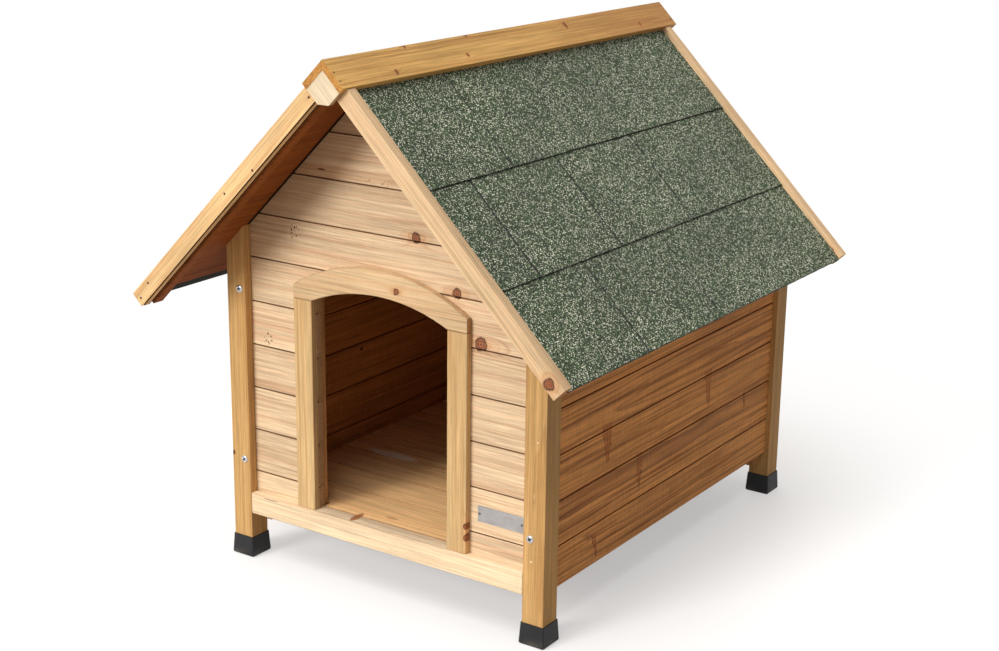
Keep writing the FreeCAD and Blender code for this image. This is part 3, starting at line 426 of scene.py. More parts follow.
# the face a mark lies on: what counts across it, and along its grain
FACES = {
    "crosswise": ((1, 0, 1), (0.42, 0, 1)),
    "upright": ((1, 0, 1), (1, 0, 0.42)),
    "lengthwise": ((0, 1, 1), (0, 0.42, 1)),
    "floorwise": ((1, 1, 0), (0.42, 1, 0)),
    "ridge": ((0.7, 1, 0.7), (0.7, 0.42, 0.7)),
    "sloping": ((1, 0, 1), (0.7, 0, 0.7)),
}


def pine(
    title, early, late, stain, figure, face="crosswise", knots=(), marks=(), spikes=(),
    saw=0.1, gloss=0.0, sheen=0.16, edge=1.0, dark=None,
):
    """A pine material under a stain. Its figure is the ring width and how much the rings and the streaks
    show.
    Knots are (x, y, z, size), marks (x, y, z, reach, colour, strength, raggedness) with a raggedness of 0
    for specks, and spikes (y, z, length, width, slant) on the right wall. The rounded edges are darkened as
    painted shade; a negative edge makes them paler instead, as a painted highlight. The function dark gives
    (mask, colour) pairs that are painted over all the rest, among them painted shade and highlights."""
    made, w, shader = new_material(title)
    point = w.place()
    across, along = FACES[face]
    bend, heart, rim, halo = 0.0, 0.0, 0.0, 0.0
    for x, y, z, size in knots:
        given = {"Point": point, "Centre": (x, y, z), "Across": across, "Along": along, "Size": size}
        knot = w.group(KNOT, given)
        bend = w.plus(bend, knot["Bend"])
        heart = w.larger(heart, knot["Heart"])
        rim = w.larger(rim, knot["Rim"])
        halo = w.larger(halo, knot["Halo"])
    wood = w.group(PINE, {
        "Grain": w.attribute("grain", "Vector"),
        "Tone": w.attribute("tone"),
        "End": w.attribute("end"),
        "Edge": w.times(w.attribute("edge"), edge),
        "Deep": w.attribute("deep"),
        "Saw": saw,
        "Bend": bend,
        "Heart": heart,
        "Rim": rim,
        "Halo": halo,
        "Early": shade(*early),
        "Late": shade(*late),
        "Stain": shade(*stain),
        **dict(zip(("Ring width", "Ring strength", "Stain strength"), figure)),
    })
    colour = wood["Colour"]
    for x, y, z, reach, paint, strength, ragged in marks:
        mark = w.group(MARK, {"Point": point, "Centre": (x, y, z), "Reach": reach, "Break": ragged})
        shown = mark["Mask" if ragged else "Specks"]
        colour = w.blend(w.times(shown, strength), colour, paint)
    for y, z, length, width, slant in spikes:
        given = {"Point": point, "Top": (SIDE_FACE, y, z), "Length": length, "Width": width, "Slant": slant}
        spike = w.group(SPIKE, given)
        colour = w.blend(w.times(spike["Fill"], 0.5), colour, shade(176, 96, 50))
        colour = w.blend(spike["Lines"], colour, shade(60, 26, 14))
    for mask, paint in dark(w, w.split(point)) if dark else ():
        colour = w.blend(mask, colour, paint)
    roughness = w.minus(wood["Roughness"], gloss)
    return finished(w, shader, made, colour, roughness, wood["Height"], 0.55, 0.5, sheen)


# ---------------------------------------------------------------- materials

THROUGH = 0.06  # reach of a mark through a board
HOLE = shade(40, 22, 14)
RESIN = shade(84, 44, 26)

WALLS_MIDDLE = 0.0393  # halfway between the front and the rear boards
WALL_HALF = 0.368
ROOF_MIDDLE = -0.0051
SHADOW = shade(40, 24, 15)


def line(w, value, middle, half, soft=0.0005):
    """1 where the value is within half of the middle, with a soft edge."""
    return w.span(w.size(w.minus(value, middle)), half + soft, half - soft)


def front_painted_shade(w, place):
    """Painted shade: the wall is a little darker close under the roof, where the roof shades it."""
    below = w.minus(w.minus(RIDGE_HEIGHT, place[2]), w.size(place[0]))
    shadow = w.span(w.times(below, HALF_ROOT), 0.085, 0.004, 0.0, 0.42)
    return ((shadow, shade(138, 84, 46)),)


def ridge_darks(w, place):
    """The ridge is a little darker towards the rear."""
    return ((w.span(place[1], -0.15, 0.46, 0.0, 0.45), shade(142, 84, 44)),)


def deck_shadow_and_felt(w, place):
    """Painted shadow where the deck meets the wall, and the felt that hangs over the eave."""
    from_middle = w.size(w.minus(place[1], WALLS_MIDDLE))
    inward = w.span(w.size(place[0]), 0.297, 0.293)
    # painted shadow where the deck meets the wall
    joint_shadow = w.times(line(w, from_middle, WALL_HALF + 0.0025, 0.0045), inward)
    down = w.plus(w.size(place[0]), w.minus(RIDGE_HEIGHT, place[2]))
    eave = w.span(w.times(down, HALF_ROOT), 0.5010, 0.5025)
    return (joint_shadow, SHADOW), (eave, shade(34, 35, 27))


def barge_shade_and_highlight(w, place):
    """The grooves under a barge board, black inside with painted shade, and near its back a pale lip, a
    painted highlight, and a dark line of painted shade.
    """
    from_middle = w.size(w.minus(place[1], ROOF_MIDDLE))
    under = w.attribute("under")
    # painted highlight on the lip; painted shade in the line near the back and inside the groove
    lip = w.times(line(w, from_middle, 0.4330, 0.0009), under)
    gap = w.times(line(w, from_middle, 0.4300, 0.0016), under)
    inside = w.times(w.attribute("deep"), 0.9)
    return (inside, SHADOW), (lip, shade(255, 224, 184)), (gap, SHADOW)


PITCH_POCKET = (-0.0600, -0.3230, 0.1105, (0.0065, 0.0170, 0.0200), shade(150, 84, 36), 0.85, 0.4)
NAIL_HOLE = (0.0021, THROUGH, 0.0021)
BRUISE = shade(236, 214, 180)

FRONT_KNOTS = (
    (0.0588, 0, 0.5697, 0.0072),
    (0.1304, 0, 0.4995, 0.0068),
    (0.1720, 0, 0.4320, 0.0088),
)
REAR_KNOTS = (
    (-0.143, 0, 0.262, 0.009),
    (0.098, 0, 0.412, 0.007),
    (0.021, 0, 0.573, 0.008),
    (0.19, 0, 0.19, 0.006),
)
FRONT_MARKS = (
    (-0.1139, WALL_FACE, 0.6474, (0.0085, THROUGH, 0.0016), RESIN, 0.9, 0.5),
    (-0.1670, WALL_FACE, 0.5453, (0.0120, THROUGH, 0.0130), shade(92, 50, 30), 0.95, 0),
    (-0.2266, WALL_FACE, 0.3690, (0.0100, THROUGH, 0.0110), RESIN, 0.95, 0),
    (-0.0020, WALL_FACE, 0.6410, (0.0330, THROUGH, 0.0050), shade(110, 62, 38), 0.6, 0),
    PITCH_POCKET,
)
POST_MARKS = (
    (-0.2925, POST_FACE, 0.1713, (0.0040, 0.0060, 0.0045), shade(84, 42, 24), 0.9, 0.4),
    (0.2796, POST_FACE, 0.3124, (0.0016, THROUGH, 0.0016), BRUISE, 0.8, 0.6),
    (0.2717, POST_FACE, 0.1306, (0.0022, THROUGH, 0.0018), BRUISE, 0.8, 0.6),
    (0.2750, POST_FACE, 0.2310, (0.0008, THROUGH, 0.0060), BRUISE, 0.5, 0.9),
)
SIDE_SPIKES = (
    (0.1530, 0.2900, 0.064, 0.0110, 0.10),
    (-0.1650, 0.2900, 0.064, 0.0120, 0.08),
    (-0.0650, 0.2150, 0.062, 0.0075, 0.04),
    (-0.1960, 0.1250, 0.040, 0.0050, 0.30),
    (0.2900, 0.2150, 0.030, 0.0036, 0.10),
)
LEFT_WALL_KNOTS = tuple(
    (-SIDE_FACE, y, z, (0.0300, wide, tall), shade(72, 36, 20), 0.9, 0.5)
    for y, z, wide, tall in (
        (0.1350, 0.3300, 0.0085, 0.0065),
        (-0.2050, 0.1950, 0.0070, 0.0055),
        (0.2700, 0.1450, 0.0075, 0.0060),
        (-0.0400, 0.2700, 0.0050, 0.0040),
    )
)
BARGE_MARKS = tuple(
    (x, BARGE_FACE, z, NAIL_HOLE, HOLE, 0.95, 0.3)
    for x, z in (
        (-0.0319, 0.7766), (-0.1384, 0.6622), (-0.1931, 0.6214), (-0.3553, 0.4624), (-0.3717, 0.4361),
    )
)
RIDGE_KNOTS = (
    (0.0285, -0.3332, 0.8036, 0.0026),
    (0.0, -0.2811, 0.8321, 0.0030),
    (0.0247, -0.1560, 0.8074, 0.0024),
    (0.0, -0.1298, 0.8334, 0.0030),
    (0.0093, 0.1356, 0.8228, 0.0034),
    (0.0262, 0.3487, 0.8059, 0.0026),
)

front_pine = pine(
    "front_pine", (227, 202, 168), (182, 136, 96), (202, 158, 126),
    (0.0040, 0.55, 0.62), knots=FRONT_KNOTS, marks=FRONT_MARKS, dark=front_painted_shade,
)
rear_pine = pine(
    "rear_pine", (232, 194, 144), (194, 138, 88), (208, 152, 108),
    (0.0052, 0.5, 0.62), knots=REAR_KNOTS,
)
rail_pine = pine(
    "rail_pine", (240, 216, 182), (208, 166, 122), (222, 184, 146),
    (0.006, 0.4, 0.5),
    marks=((-0.2175, POST_FACE, 0.1068, (0.0160, THROUGH, 0.0010), HOLE, 0.6, 0.5), PITCH_POCKET),
)
post_pine = pine(
    "post_pine", (206, 166, 110), (162, 112, 62), (178, 128, 76),
    (0.0055, 0.55, 0.5), face="upright", gloss=0.04, sheen=0.12,
    marks=POST_MARKS,
)
trim_pine = pine(
    "trim_pine", (207, 176, 128), (173, 127, 78), (188, 142, 94),
    (0.006, 0.45, 0.5), face="upright",
    knots=((0.1580, 0, 0.1370, 0.0055), (0.1570, 0, 0.1540, 0.0042)),
)
arch_pine = pine(
    "arch_pine", (221, 192, 152), (190, 143, 98), (206, 163, 120),
    (0.006, 0.42, 0.5), knots=((0.0304, 0, 0.4878, 0.0044),),
)
side_pine = pine(
    "side_pine", (236, 172, 108), (120, 64, 30), (136, 76, 38),
    (0.0042, 0.75, 0.9), face="lengthwise", saw=0.6, sheen=0.08,
    spikes=SIDE_SPIKES, marks=LEFT_WALL_KNOTS,
)
barge_pine_right = pine(
    "barge_pine_right", (217, 188, 150), (187, 141, 96), (202, 160, 120),
    (0.0055, 0.5, 0.5), face="sloping", edge=-1.2, dark=barge_shade_and_highlight,
    knots=((0.3637, 0, 0.4440, 0.0075),),
)
barge_pine_left = pine(
    "barge_pine_left", (234, 198, 146), (200, 150, 96), (216, 170, 120),
    (0.0055, 0.5, 0.5), face="sloping", edge=-1.2, dark=barge_shade_and_highlight,
    marks=BARGE_MARKS,
)
ridge_pine = pine(
    "ridge_pine", (222, 178, 108), (154, 98, 48), (178, 122, 68),
    (0.0036, 0.65, 0.65), face="ridge", gloss=0.05, dark=ridge_darks,
    knots=RIDGE_KNOTS,
)
end_pine = pine(
    "end_pine", (208, 194, 168), (190, 160, 124), (200, 178, 146),
    (0.0036, 0.45, 0.35), face="sloping",
)
# painted shade: the deck under the roof takes a darker palette than the same pine elsewhere
shaded_deck_pine = pine(
    "shaded_deck_pine", (144, 84, 42), (100, 54, 26), (110, 60, 30),
    (0.006, 0.45, 0.6), face="lengthwise", sheen=0.03, dark=deck_shadow_and_felt,
)
# painted shade: a darker palette for the rafters under the roof
shaded_rafter_pine = pine(
    "shaded_rafter_pine", (158, 96, 52), (112, 62, 30), (124, 70, 36),
    (0.006, 0.45, 0.6), sheen=0.03,
)
floor_pine = pine(
    "floor_pine", (250, 204, 146), (212, 152, 98), (226, 164, 108),
    (0.006, 0.5, 0.65), face="floorwise",
    marks=(
        (-0.1780, -0.0790, 0.1110, (0.0540, 0.0120, THROUGH), shade(255, 238, 220), 0.95, 1.1),
        (-0.0130, -0.2960, 0.1105, (0.0120, 0.0040, THROUGH), shade(158, 92, 42), 0.45, 0.5),
        PITCH_POCKET,
    ),
)
inner_pine = pine(
    "inner_pine", (206, 158, 106), (160, 104, 60), (170, 116, 70),
    (0.005, 0.5, 0.55),
)


def felt_material():
    """Roofing felt: granules, worn off where the bare attribute is high."""
    made, w, shader = new_material("mineral_felt")
    granules = w.group(GRANULES, {"Point": w.place(), "Bare": w.attribute("bare")})
    return finished(w, shader, made, granules["Colour"], granules["Roughness"], granules["Height"], 1.0, 1.0)


def foot_material():
    """Moulded matt black plastic with a fine grained skin and dust on its lower edge."""
    made, w, shader = new_material("moulded_plastic")
    point = w.place()
    skin = w.noise(point, 1500.0, 3.0)[0]
    cloud = w.noise(point, 45.0, 3.0)[0]
    dust = w.times(w.span(w.split(point)[2], 0.014, 0.0), w.span(cloud, 0.4, 0.7))
    black = w.blend(w.span(cloud, 0.3, 0.7), shade(26, 26, 28), shade(36, 36, 38))
    colour = w.blend(w.times(dust, 0.4), black, shade(120, 112, 102))
    return finished(w, shader, made, colour, w.span(skin, 0.3, 0.7, 0.42, 0.6), skin, 0.35, 0.3, 0.28)


def metal_material(title, colour, roughness, stretch, wear):
    """Metal with fine lines drawn out along one way, clouded a little, and with painted shade in a pit."""
    made, w, shader = new_material(title)
    point = w.place()
    lines = w.noise(w.vector("MULTIPLY", point, stretch), 1.0, 3.0, 0.6)[0]
    cloud = w.noise(point, 70.0, 3.0)[0]
    tint = w.span(w.plus(lines, w.times(cloud, 0.6)), 0.5, 1.1, 1 - wear, 1.0)
    # painted shade darkens the metal in the pit of a cross recess
    shown = w.times(tint, w.span(w.attribute("pit"), 0.0, 1.0, 1.0, 0.1))
    w.feed(shader.inputs["Metallic"], 1.0)
    rough = w.span(lines, 0.3, 0.7, roughness - 0.08, roughness + 0.1)
    return finished(w, shader, made, w.vector("SCALE", colour[:3], scale=shown), rough, lines, 0.25, 0.1)


felt = felt_material()
foot_plastic = foot_material()
EVENLY = (500.0, 500.0, 500.0)
plate_metal = metal_material("rolled_aluminium", shade(180, 176, 175), 0.46, (30.0, 900.0, 900.0), 0.25)
zinc = metal_material("zinc", shade(206, 208, 212), 0.3, EVENLY, 0.2)
pin_steel = metal_material("pin_steel", shade(120, 116, 112), 0.45, EVENLY, 0.3)
nail_steel = metal_material("nail_steel", shade(96, 82, 70), 0.55, EVENLY, 0.4)

# ---------------------------------------------------------------- timber pieces

# (start of the node's name, material slot, grain, material, rounding of the edges in mm, faces with painted
# shade)
TIMBER = (
    ("front_board", "front_wood", "crosswise", front_pine, 0.5, "seams"),
    ("rear_boards", "side_wood", "crosswise", rear_pine, 0.5, "seams"),
    ("front_rail", "trim_wood", "crosswise", rail_pine, 1.2, None),
    ("rear_rail", "trim_wood", "crosswise", rail_pine, 1.2, None),
    ("post_front", "post_wood", "upright", post_pine, 1.6, None),
    ("post_rear", "post_wood", "upright", post_pine, 1.6, None),
    ("door_jamb", "trim_wood", "upright", trim_pine, 1.4, None),
    ("door_arch", "trim_wood", "crosswise", arch_pine, 1.4, None),
    ("side_boards", "side_wood", "lengthwise", side_pine, 0.5, "seams"),
    ("barge_board_front_left", "barge_wood", "down_left", barge_pine_left, 0.4, "grooves"),
    ("barge_board_rear_left", "barge_wood", "down_left", barge_pine_left, 0.4, "grooves"),
    ("barge_board_front_right", "barge_wood", "down_right", barge_pine_right, 0.4, "grooves"),
    ("barge_board_rear_right", "barge_wood", "down_right", barge_pine_right, 0.4, "grooves"),
    ("ridge_cap_left", "ridge_wood", "ridge_left", ridge_pine, 1.2, None),
    ("ridge_cap_right", "ridge_wood", "ridge_right", ridge_pine, 1.2, None),
    ("ridge_end_plates", "trim_wood", "down_right", end_pine, 0.9, None),
    ("roof_deck_left", "deck_wood", "ridge_left", shaded_deck_pine, 0.6, None),
    ("roof_deck_right", "deck_wood", "ridge_right", shaded_deck_pine, 0.6, None),
    ("front_rafters", "deck_wood", "crosswise", shaded_rafter_pine, 0.8, None),
    ("floor_boards", "floor_wood", "floorwise", floor_pine, 0.3, "seams"),
    ("floor_battens", "batten_wood", "lengthwise", inner_pine, 0.9, None),
    ("floor_bearer", "batten_wood", "lengthwise", side_pine, 1.0, None),
    ("front_wall_battens", "batten_wood", "upright", inner_pine, 0.8, None),
    ("rear_wall_battens", "batten_wood", "upright", inner_pine, 0.8, None),
    ("side_battens", "batten_wood", "upright", inner_pine, 0.8, None),
    ("top_plate", "batten_wood", "lengthwise", inner_pine, 0.8, None),
)


# how much painted shade the faces towards the cabin get, and how dark the sawn ends are, against 1 in a
# seam, which is in full painted shade
INSIDE_SHADE = 0.75
END_DARKNESS = 0.3
THRESHOLD = 0.1105  # top of the notched front board, which the doorway leaves open
FACING = 0.8  # cosine from which a face counts as facing a direction
SUNK = 8e-4  # how far a face lies below the board's outer faces before it counts as sunk


def values_of(items, name, width=1, kind=float):
    """One property of a mesh's vertices, edges, loops or faces as an array, in rows where it has parts."""
    values = np.zeros(len(items) * width, kind)
    items.foreach_get(name, values)
    return values.reshape(-1, width) if width > 1 else values


def islands(count, edges):
    """The number of the separate solid each vertex belongs to: the lowest vertex it is joined to."""
    label = np.arange(count)
    while True:
        lowest = np.minimum(label[edges[:, 0]], label[edges[:, 1]])
        fresh = label.copy()
        np.minimum.at(fresh, edges[:, 0], lowest)
        np.minimum.at(fresh, edges[:, 1], lowest)
        fresh = fresh[fresh]
        if (fresh == label).all():
            return np.unique(label, return_inverse=True)[1]
        label = fresh


def merged(node):
    """A mesh of the node's solids with joined corners and whole flat faces."""
    shape = bmesh.new()
    shape.from_mesh(frame["nodes"][node].data)
    bmesh.ops.remove_doubles(shape, verts=shape.verts, dist=2e-6)
    bmesh.ops.dissolve_limit(shape, angle_limit=math.radians(0.4), verts=shape.verts, edges=shape.edges)
    return shape


def rounded(shape, radius, segments):
    """Rounds the sharp outer edges and marks the new faces in the edge layer."""
    layer = shape.faces.layers.float.new("edge")
    sharp = [e for e in shape.edges if e.is_manifold and e.calc_face_angle(0) > math.radians(32)]
    made = bmesh.ops.bevel(
        shape, geom=sharp, offset=radius * MM, segments=segments, profile=0.5, affect="EDGES",
        clamp_overlap=True,
    )
    for face in made["faces"]:
        face[layer] = 1.0


def weighted(piece):
    """Rounded edges shade into flat faces that stay flat."""
    piece.data.polygons.foreach_set("use_smooth", np.ones(len(piece.data.polygons), bool))
    modifier = piece.modifiers.new("flat_faces", "WEIGHTED_NORMAL")
    modifier.keep_sharp = False


def mesh_from(shape, title):
    mesh = bpy.data.meshes.new(title)
    shape.to_mesh(mesh)
    shape.free()
    return mesh


def dressed(mesh, material, node):
    """A piece that stands for its node, moves with its body and takes the given finish."""
    mesh.materials.append(material)
    piece = bpy.data.objects.new(mesh.name, mesh)
    bpy.context.collection.objects.link(piece)
    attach(piece, frame["nodes"][node]["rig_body"])
    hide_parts(node)
    return piece


def spread(mesh, name, domain, values, kind="FLOAT"):
    made = mesh.attributes.new(name, kind, domain)
    part = "vector" if kind == "FLOAT_VECTOR" else "value"
    made.data.foreach_set(part, np.asarray(values, np.float32).ravel())


def recessed(mesh, solid, axes, places, kind):
    """How far each face points along, across and through its board, and how much painted shade it gets. In
    "seams" the long edges and the faces behind the board's outer faces are in full painted shade, the faces
    towards the cabin get less of it and the sawn ends are darkened less. In "grooves" only the faces that
    are sunk get painted shade."""
    normals = values_of(mesh.polygons, "normal", 3)
    centres = values_of(mesh.polygons, "center", 3)
    corners = values_of(mesh.loops, "vertex_index", kind=int)
    owner = solid[corners[values_of(mesh.polygons, "loop_start", kind=int)]]
    facing = np.abs(normals @ axes.T)
    middle = centres @ axes.T
    high = np.full((solid.max() + 1, 3), -1e9)
    np.maximum.at(high, solid, places @ axes.T)
    low = np.full((solid.max() + 1, 3), 1e9)
    np.minimum.at(low, solid, places @ axes.T)
    sunk = (middle < high[owner] - SUNK) & (middle > low[owner] + SUNK)
    behind = (facing[:, 2] > FACING) & sunk[:, 2]
    if kind == "seams":
        hidden = (facing[:, 1] > FACING) & (np.abs(centres[:, 2] - THRESHOLD) > 5e-4)
        inward = (normals @ axes[2]) * np.sign(middle[:, 2]) < -FACING
        open_faces = np.where(facing[:, 0] > FACING, END_DARKNESS, inward * INSIDE_SHADE)
        return facing, np.where(behind | hidden, 1.0, open_faces)
    if kind == "grooves":
        return facing, (behind | ((facing[:, 1] > FACING) & sunk[:, 1])) * 1.0
    return facing, np.zeros(len(facing))


def timber(node, slot, grain, material, radius, dark):
    """A board or boards with grain coordinates: place along, across and through, seen from the pith."""
    shape = merged(node)
    rounded(shape, radius, 2)
    mesh = mesh_from(shape, node + "_pine")
    places = values_of(mesh.vertices, "co", 3)
    solid = islands(len(places), values_of(mesh.edges, "vertices", 2, int))
    count = solid.max() + 1
    axes = np.array([np.array(axis, float) for axis in GRAINS[grain]])
    local = places @ axes.T
    totals = np.zeros((count, 3))
    np.add.at(totals, solid, local)
    middles = totals / np.bincount(solid)[:, None]
    pith = np.column_stack((
        DICE.uniform(3, 40, count),
        DICE.uniform(-0.03, 0.03, count),
        DICE.choice((-1.0, 1.0), count) * DICE.uniform(0.018, 0.075, count),
    ))
    middles[:, 0] = 0
    spread(mesh, "grain", "POINT", local - middles[solid] + pith[solid], "FLOAT_VECTOR")
    spread(mesh, "tone", "POINT", np.clip(DICE.normal(0, 0.6, count), -1, 1)[solid])
    facing, deep = recessed(mesh, solid, axes, places, dark)
    spread(mesh, "end", "FACE", facing[:, 0] > FACING)
    spread(mesh, "deep", "FACE", deep)
    spread(mesh, "under", "FACE", values_of(mesh.polygons, "normal", 3) @ axes[1] < -FACING)
    weighted(dressed(mesh, material, node))


for start, *finish in TIMBER:
    for node in sorted(name for name in frame["nodes"] if name.startswith(start)):
        timber(node, *finish)

# ---------------------------------------------------------------- roofing felt

FELT_FRONT, FELT_REAR = -0.4332, 0.4231
FELT_EDGES = (0.008, 0.204, 0.373, 0.533)  # where the courses start and end down the slope
FELT_SEAT = 0.008  # top of the deck, above its underside
FELT_UPPER, FELT_BUTT = 0.0024, 0.0044  # thickness of a course at its upper and its lower edge
DECK_END = 0.520
SLITS = (0.210, 0.101, 0.210)  # the first slit of each course, from the front
TAB = 0.218
SLIT_STRENGTHS = ((0.62, 0.5, 0.5, 0.45), (1.3, 1.0, 0.8, 0.5), (0.95, 0.6, 0.5, 0.5))


def ripple(places, lengths, dice):
    """A smooth random wave between -1 and 1: sines of the given lengths with chance phases."""
    total = np.zeros_like(places)
    for length in lengths:
        total += np.sin(places * 2 * math.pi / length + dice.uniform(0, 2 * math.pi))
    return total / len(lengths)


def felt_course(side, course):
    """A sheet over the rows down the slope and the columns along the ridge. Its top sinks a little in slow
    waves and falls into a narrow trough at each slit, its lower edge is cut unevenly, and the eave sags."""
    dice = np.random.default_rng(100 * course + (7 if side == "left" else 3))
    slope, normal = (RIGHT_SLOPE, RIGHT_NORMAL) if side == "right" else (LEFT_SLOPE, LEFT_NORMAL)
    start, end = FELT_EDGES[course], FELT_EDGES[course + 1]
    slits = FELT_FRONT + SLITS[course] + 0.002 + TAB * np.arange(4)
    slits = slits[slits < FELT_REAR - 0.01]
    columns = np.linspace(FELT_FRONT, FELT_REAR, 300)
    fine = (slits[:, None] + np.arange(-0.005, 0.0051, 0.0005)).ravel()
    columns = np.unique(np.round(np.concatenate((columns, fine)), 6))
    rows = np.unique(np.concatenate((np.linspace(0, 1, 56), 1 - np.linspace(0, 0.03, 6))))
    y, t = np.meshgrid(columns, rows)
    cut = 0.00045 * (1 + ripple(y, (0.0031, 0.0054, 0.0097), dice)) * t ** 3
    s = start + (end - start - cut) * t
    thickness = FELT_UPPER + (FELT_BUTT - FELT_UPPER) * (s - start) / (end - start)
    wave = 0.5 + 0.25 * ripple(y, (0.09, 0.16, 0.31), dice) + 0.25 * ripple(s, (0.07, 0.13), dice)
    top = FELT_SEAT + thickness - 0.0005 * wave
    bare = np.zeros_like(top)
    for slit, strength in zip(slits, SLIT_STRENGTHS[course]):
        middle = slit + 0.0007 * ripple(s, (0.012, 0.033, 0.08), dice)
        depth = np.clip(strength * (0.95 + 0.55 * ripple(s, (0.02, 0.05, 0.11), dice)), 0, 1)
        width = 0.0021 + 0.0007 * ripple(s, (0.009, 0.021, 0.06), dice)
        trough = np.exp(-(((y - middle) / width) ** 2)) * depth
        top -= 0.0013 * trough
        bare = np.maximum(bare, trough)
    free = np.clip((s - DECK_END) / (end - DECK_END), 0, 1) if course == 2 else np.zeros_like(s)
    sag = free ** 2 * 0.0018 * (0.55 + 0.45 * ripple(y, (0.11, 0.23), dice))
    low = FELT_SEAT + 0.00005 - sag
    top = top - sag
    bare = np.maximum(bare, np.clip((t - 0.985) / 0.015, 0, 1) * 0.45)

    def spots(along_slope, off):
        return (
            along_slope[..., None] * slope + off[..., None] * normal
            + y[..., None] * np.array((0, 1, 0)) + np.array((0, 0, RIDGE_HEIGHT))
        )

    tall, wide = y.shape
    vertices = np.concatenate((spots(s, top).reshape(-1, 3), spots(s, low).reshape(-1, 3)))
    number = np.arange(tall * wide).reshape(tall, wide)
    quads = np.stack((number[:-1, :-1], number[1:, :-1], number[1:, 1:], number[:-1, 1:]), -1).reshape(-1, 4)
    below = quads[:, ::-1] + tall * wide
    rim = np.concatenate((number[0, :-1], number[:-1, -1], number[-1, :0:-1], number[:0:-1, 0]))
    ahead = np.roll(rim, -1)
    skirt = np.stack((rim, ahead, ahead + tall * wide, rim + tall * wide), -1)
    faces = np.concatenate((quads, below, skirt))
    if side == "left":
        faces = faces[:, ::-1]
    mesh = bpy.data.meshes.new("felt_%s_%d" % (side, course + 1))
    mesh.vertices.add(len(vertices))
    mesh.vertices.foreach_set("co", vertices.ravel())
    mesh.loops.add(faces.size)
    mesh.loops.foreach_set("vertex_index", faces.ravel())
    mesh.polygons.add(len(faces))
    mesh.polygons.foreach_set("loop_start", np.arange(len(faces)) * 4)
    mesh.update(calc_edges=True)
    spread(mesh, "bare", "POINT", np.concatenate((bare.ravel(), np.ones(tall * wide))))
    mesh.polygons.foreach_set("use_smooth", np.arange(len(faces)) < 2 * len(quads))
    dressed(mesh, felt, "roofing_felt_%s_%d" % (side, course + 1))


for side in ("left", "right"):
    for course in range(3):
        felt_course(side, course)

# ---------------------------------------------------------------- feet, plate, screws, pins and nails


def sliced(shape, reach):
    """Cuts lines round the lowest part, on which it can bend."""
    for height in (0.1, 0.25, 0.5, 0.75, 1.0):
        everything = shape.verts[:] + shape.edges[:] + shape.faces[:]
        bmesh.ops.bisect_plane(shape, geom=everything, plane_co=(0, 0, height * reach), plane_no=(0, 0, 1))


def tucked(mesh, reach):
    """Draws the sides in towards the ground along a quarter circle of radius r: by r - sqrt(r^2 - 0.98 d^2)
    at a depth d below z = r."""
    spots = values_of(mesh.vertices, "co", 3)
    middle = (spots.min(0) + spots.max(0)) / 2
    half = (spots.max(0) - spots.min(0)) / 2
    depth = np.clip(reach - spots[:, 2], 0, reach)
    pull = reach - np.sqrt(reach ** 2 - 0.98 * depth ** 2)
    spots[:, :2] -= (spots - middle)[:, :2] / half[:2] * pull[:, None]
    mesh.vertices.foreach_set("co", spots.ravel())
    mesh.update()


def moulded(node, title, material, radius, segments, base=0.0):
    """A copy of the node with rounded edges, and rounder ones where it stands on the ground."""
    shape = merged(node)
    rounded(shape, radius, segments)
    if base:
        sliced(shape, base * MM)
    mesh = mesh_from(shape, title)
    if base:
        tucked(mesh, base * MM)
    weighted(dressed(mesh, material, node))


for corner in ("front_left", "front_right", "rear_left", "rear_right"):
    moulded("foot_cap_" + corner, "foot_" + corner, foot_plastic, 0.9, 3, 3.5)
moulded("name_plate", "bare_plate", plate_metal, 0.3, 2)


def head_seats(node, outward):
    """(middle of the head's outer face, its outward way) for each solid of the node."""
    mesh = frame["nodes"][node].data
    places = np.round(values_of(mesh.vertices, "co", 3), 6)
    places, same = np.unique(places, axis=0, return_inverse=True)
    solid = islands(len(places), same.ravel()[values_of(mesh.edges, "vertices", 2, int)])
    seats = []
    for index in range(solid.max() + 1):
        own = places[solid == index]
        way = outward(own.mean(0))
        rise = own @ way
        outer = own[rise > rise.max() - 2e-5]
        seats.append((outer.mean(0), way))
    return seats


